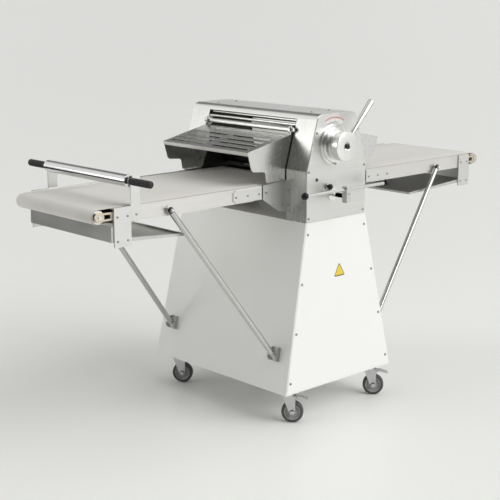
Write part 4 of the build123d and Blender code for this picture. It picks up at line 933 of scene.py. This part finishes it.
# ---------------- belt tensioners
# Yokes cut from flat steel and yellow-passivated, which gives the zinc its uneven gold and rose tint.
# A jam nut and an adjuster screw stand on each yoke's end bar.
yellow_zinc, wire = new_finish("yellow_passivated_zinc")
cloud = wire.noise(wire.place(), 55.0, 3.0)
fleck = wire.noise(wire.place(), 420.0, 2.0)
wire.shader(Base_Color=wire.mix(cloud, (0.56, 0.49, 0.37), (0.68, 0.63, 0.54)), Metallic=1.0,
            Roughness=0.28 + 0.12 * cloud + 0.08 * fleck, Normal=wire.bump(fleck, 0.00005, 0.4))
jam_nut_outline = [(0.0, 0.0), (0.0, 5.0), (0.6, 5.6), (3.2, 5.6), (3.8, 5.0), (3.8, 0.0)]
adjuster_outline = [(3.8, 0.0), (3.8, 3.0), (9.0, 3.0), (9.6, 2.4), (9.6, 0.0)]
yoke_face_x = -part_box("table_rails_left")[0].x - 1.0 * MM
for side_name, side in sides:
    dress("belt_tensioners_" + side_name, yellow_zinc, 0.5)
    nuts = bmesh.new()
    for low, high in solids_of("belt_tensioners_" + side_name):
        middle = (low + high) / 2
        inward = standing((side * yoke_face_x, middle.y, middle.z), (-side, 0, 0))
        turn(nuts, jam_nut_outline, inward, 6)
        turn(nuts, adjuster_outline, inward, 24)
    new_piece("tension_nuts_" + side_name, nuts, yellow_zinc, "table_" + side_name, angle=25)

# ---------------- belts
# One endless belt for each table, a woven polyester cloth with a pale coated face, spliced into a loop
# and stretched over the drive roller and the end roller. Its lower run hangs in a slight sag.
belt_cloth, wire = new_finish("woven_belt_cloth")
along = wire.node("ShaderNodeTexCoord", output="UV")
thread = wire.node("ShaderNodeTexWave", {"wave_type": "BANDS", "bands_direction": "X"},
                   {"Vector": along, "Scale": 260.0, "Distortion": 0.4, "Detail": 1.0})
weft = wire.node("ShaderNodeTexWave", {"wave_type": "BANDS", "bands_direction": "Y"},
                 {"Vector": along, "Scale": 260.0, "Distortion": 0.4, "Detail": 1.0})
flour = wire.noise(along, 7.0, 5.0, 0.6)
stretched = wire.node("ShaderNodeMapping", {}, {"Vector": along, "Scale": (3.0, 60.0, 1.0)})
travel = wire.noise(stretched, 1.0, 3.0)
weave = thread * weft
wire.shader(Base_Color=wire.mix(0.45 * flour + 0.35 * travel + 0.2 * weave, (0.57, 0.555, 0.515),
                                (0.68, 0.665, 0.625)),
            Roughness=0.72 + 0.1 * flour, Sheen_Weight=0.15, Sheen_Roughness=0.5,
            Normal=wire.bump(weave + 0.3 * flour, 0.0001, 0.5))
belt_thick = 2.0
belt_edge_r = 0.9
belt_gap = 0.3
sag = 3.0
hinge_x = 272.0
bend_half = 14
wrap_steps = 16
belt_half_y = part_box("belt_left")[1].y / MM
drive_low, drive_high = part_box("drive_roller_left")
belt_axis_z = (drive_high.z + drive_low.z) / 2 / MM
end_low, end_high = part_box("end_roller_left")
wrap_r = (end_high.z - end_low.z) / 2 / MM + belt_gap


def half_wrap(x, start):
    """The belt's half turn round a roller, from an angle on, without its two ends."""
    angles = [start - pi * k / wrap_steps for k in range(1, wrap_steps)]
    return [((x + wrap_r * cos(a), belt_axis_z + wrap_r * sin(a)), (cos(a), sin(a))) for a in angles]


def belt_path(near_x, far_x):
    """Points all round a belt's inner face, each with its outward direction. They lie close together
    over the hinge."""
    stations = {near_x, far_x, hinge_x - bend_half, hinge_x + bend_half}
    stations |= {hinge_x + 2 * k for k in range(-6, 7)}
    stations |= {near_x + (hinge_x - bend_half - near_x) * k / 6 for k in range(1, 6)}
    stations |= {hinge_x + bend_half + (far_x - hinge_x - bend_half) * k / 24 for k in range(1, 24)}
    upper_run = [((x, belt_axis_z + wrap_r), (0, 1)) for x in sorted(stations)]
    lower_run = []
    for x in sorted(stations, reverse=True):
        share = (x - near_x) / (far_x - near_x)
        lower_run.append(((x, belt_axis_z - wrap_r - 4 * sag * share * (1 - share)), (0, -1)))
    return upper_run + half_wrap(far_x, pi / 2) + lower_run + half_wrap(near_x, -pi / 2)


flat_y = belt_half_y - belt_edge_r
section = [(y, 0.0) for y in (flat_y, belt_half_y / 2, 0.0, -belt_half_y / 2, -flat_y)]
section += [(-belt_half_y, belt_edge_r), (-belt_half_y, belt_thick - belt_edge_r)]
section += [(-y, belt_thick) for y, _ in section[:5]]
section += [(belt_half_y, belt_thick - belt_edge_r), (belt_half_y, belt_edge_r)]
for side_name, side in sides:
    drive_low, drive_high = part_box("drive_roller_" + side_name)
    end_low, end_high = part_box("end_roller_" + side_name)
    path = belt_path(abs(drive_low.x + drive_high.x) / 2 / MM, abs(end_low.x + end_high.x) / 2 / MM)
    belt = bmesh.new()
    cloth_map = belt.loops.layers.uv.new("cloth")
    rings = [[belt.verts.new((side * (x + out_x * up) * MM, y * MM, (z + out_z * up) * MM))
              for y, up in section] for (x, z), (out_x, out_z) in path]
    travelled = 0.0
    for here in range(len(path)):
        after = (here + 1) % len(path)
        (x, z), (next_x, next_z) = path[here][0], path[after][0]
        ring, next_ring = rings[here], rings[after]
        step_end = travelled + hypot(next_x - x, next_z - z) * MM
        for k in range(len(section)):
            follow = (k + 1) % len(section)
            face = belt.faces.new((ring[k], ring[follow], next_ring[follow], next_ring[k]))
            edge_y, follow_y = section[k][0] * MM, section[follow][0] * MM
            cloth_at = ((travelled, edge_y), (travelled, follow_y), (step_end, follow_y), (step_end, edge_y))
            for loop, at in zip(face.loops, cloth_at):
                loop[cloth_map].uv = at
        travelled = step_end
    cloth = new_piece("belt_cloth_" + side_name, belt, belt_cloth, None,
                      ["belt_" + side_name, "belt_inner_ends"], angle=50)
    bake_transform(cloth)

# ---------------- catch trays
# Bent stainless sheet trays, screwed to the end plates, that catch flour and crumbs below the belts.
tray_steel = streaked_steel("tray_steel", (0.58, 0.58, 0.57), "Y", 0.30)
for side_name, _ in sides:
    dress("catch_tray_" + side_name, tray_steel, 0.5)

# ---------------- rolling pin
# A stainless tube that turns on its axle, with ribbed black plastic grips moulded onto the axle's ends.
# It lies in notches in two upright plates on the left table.
dress("pin_uprights", satin, 0.6)
foot_x, foot_z = -0.828, 0.833
foot_screws = [touch("pin_uprights", (foot_x, y_side, foot_z), (0, -y_side, 0)) for y_side in (-1, 1)]
put_screws("upright_screws", foot_screws, "table_left", size=0.85)
dress("rolling_pin_tube", chrome, 0.8, flat=False)
grip_black = mottled("grip_black_plastic", (0.004, 0.004, 0.004), (0.012, 0.012, 0.011), (30.0, 3.0),
                     (0.42, 0.15), (600.0, 3.0, 0.00008, 0.5))
axle_low, axle_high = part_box("rolling_pin_axle")
pin_x, pin_y, pin_z = middle_of("rolling_pin_axle")
grip_r = (axle_high.z - axle_low.z) / 2 / MM
grip_len = 104.0
rib_step = 6.5
ribs = 13
axle_r = 6.0
axle_half = (axle_high.y - axle_low.y) / 2 / MM - 20.0
grip_outline = [(0.0, 0.0), (0.0, grip_r - 1.6), (1.0, grip_r - 0.6), (7.0, grip_r - 0.6)]
for rib in range(ribs):
    start = 9.0 + rib * rib_step
    grip_outline += [(start, grip_r - 1.8), (start + 1.2, grip_r - 0.3), (start + 2.0, grip_r),
                     (start + 3.8, grip_r), (start + 4.6, grip_r - 0.3), (start + 5.8, grip_r - 1.8)]
grip_outline += [(grip_len - 8, grip_r - 1.8), (grip_len - 7, grip_r - 0.4)]
grip_outline += fillet_arc((grip_len - 6.0, grip_r - 6.0), 6.0, 80, 0, 6) + [(grip_len, 0.0)]
pin = bmesh.new()
axle_outline = [(-axle_half, 0.0), (-axle_half, axle_r), (axle_half, axle_r), (axle_half, 0.0)]
turn(pin, axle_outline, standing((pin_x, pin_y, pin_z), (0, 1, 0)), 32, slot=0)
for y_side in (-1, 1):
    grip_start = (pin_x, y_side * (axle_high.y - grip_len * MM), pin_z)
    turn(pin, grip_outline, standing(grip_start, (0, y_side, 0)), 48, slot=1)
new_piece("pin_axle_and_grips", pin, [bright_bar, grip_black], "rolling_pin", ["rolling_pin_axle"], angle=25)

# ---------------- struts
# Zinc-bright steel tubes with an eye on the table's stud, a black bush and a dome nut over it, and a
# cross pin at the foot that rests in the cabinet's open hooks.
strut_steel = streaked_steel("strut_tube", (0.56, 0.56, 0.55), "X", 0.15, 0.06)
stud_x, stud_z, stud_end = 0.694, 0.829, 0.244
bush_outline = [(-2.0, 0.0), (-2.0, 10.5), (-1.2, 11.0), (0.4, 11.0), (1.0, 10.4), (1.0, 0.0)]
strut_nut_outline = [(1.0, 0.0), (1.0, 7.6), (5.0, 7.6), (5.6, 7.0), (5.6, 0.0)]
dome_outline = [(5.6, 6.2)] + fillet_arc((5.6, 0.0), 6.0, 85, 10, 8) + [(11.6, 0.0)]
for side_name, side in sides:
    dress("struts_" + side_name, strut_steel, 0.5, flat=False)
    fittings = bmesh.new()
    for y_side in (-1, 1):
        stud = standing((side * stud_x, y_side * stud_end, stud_z), (0, y_side, 0))
        turn(fittings, bush_outline, stud, 40, slot=1)
        turn(fittings, strut_nut_outline, stud, 6, slot=0)
        turn(fittings, dome_outline, stud, 32, slot=0)
    new_piece("strut_nuts_" + side_name, fittings, [zinc, grip_black], "table_" + side_name, angle=28)

# ---------------- wire ring
# A small ring bent from zinc-plated wire, with its ends butted together. It hangs on the right table's
# front rail.
ring_x, ring_z = 0.840, 0.846
ring_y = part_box("table_rails_right")[0].y - 1.0 * MM
ring_r, ring_wire_r = 6.0, 1.0
bends = [2 * pi * k / 12 for k in range(12)]
ring_section = [(ring_wire_r * sin(a), ring_r + ring_wire_r * cos(a)) for a in bends]
wire_ring = bmesh.new()
turn(wire_ring, ring_section, standing((ring_x, ring_y, ring_z), (0, 1, 0)), 48, closed=True)
new_piece("wire_ring", wire_ring, zinc, "table_right", angle=60)
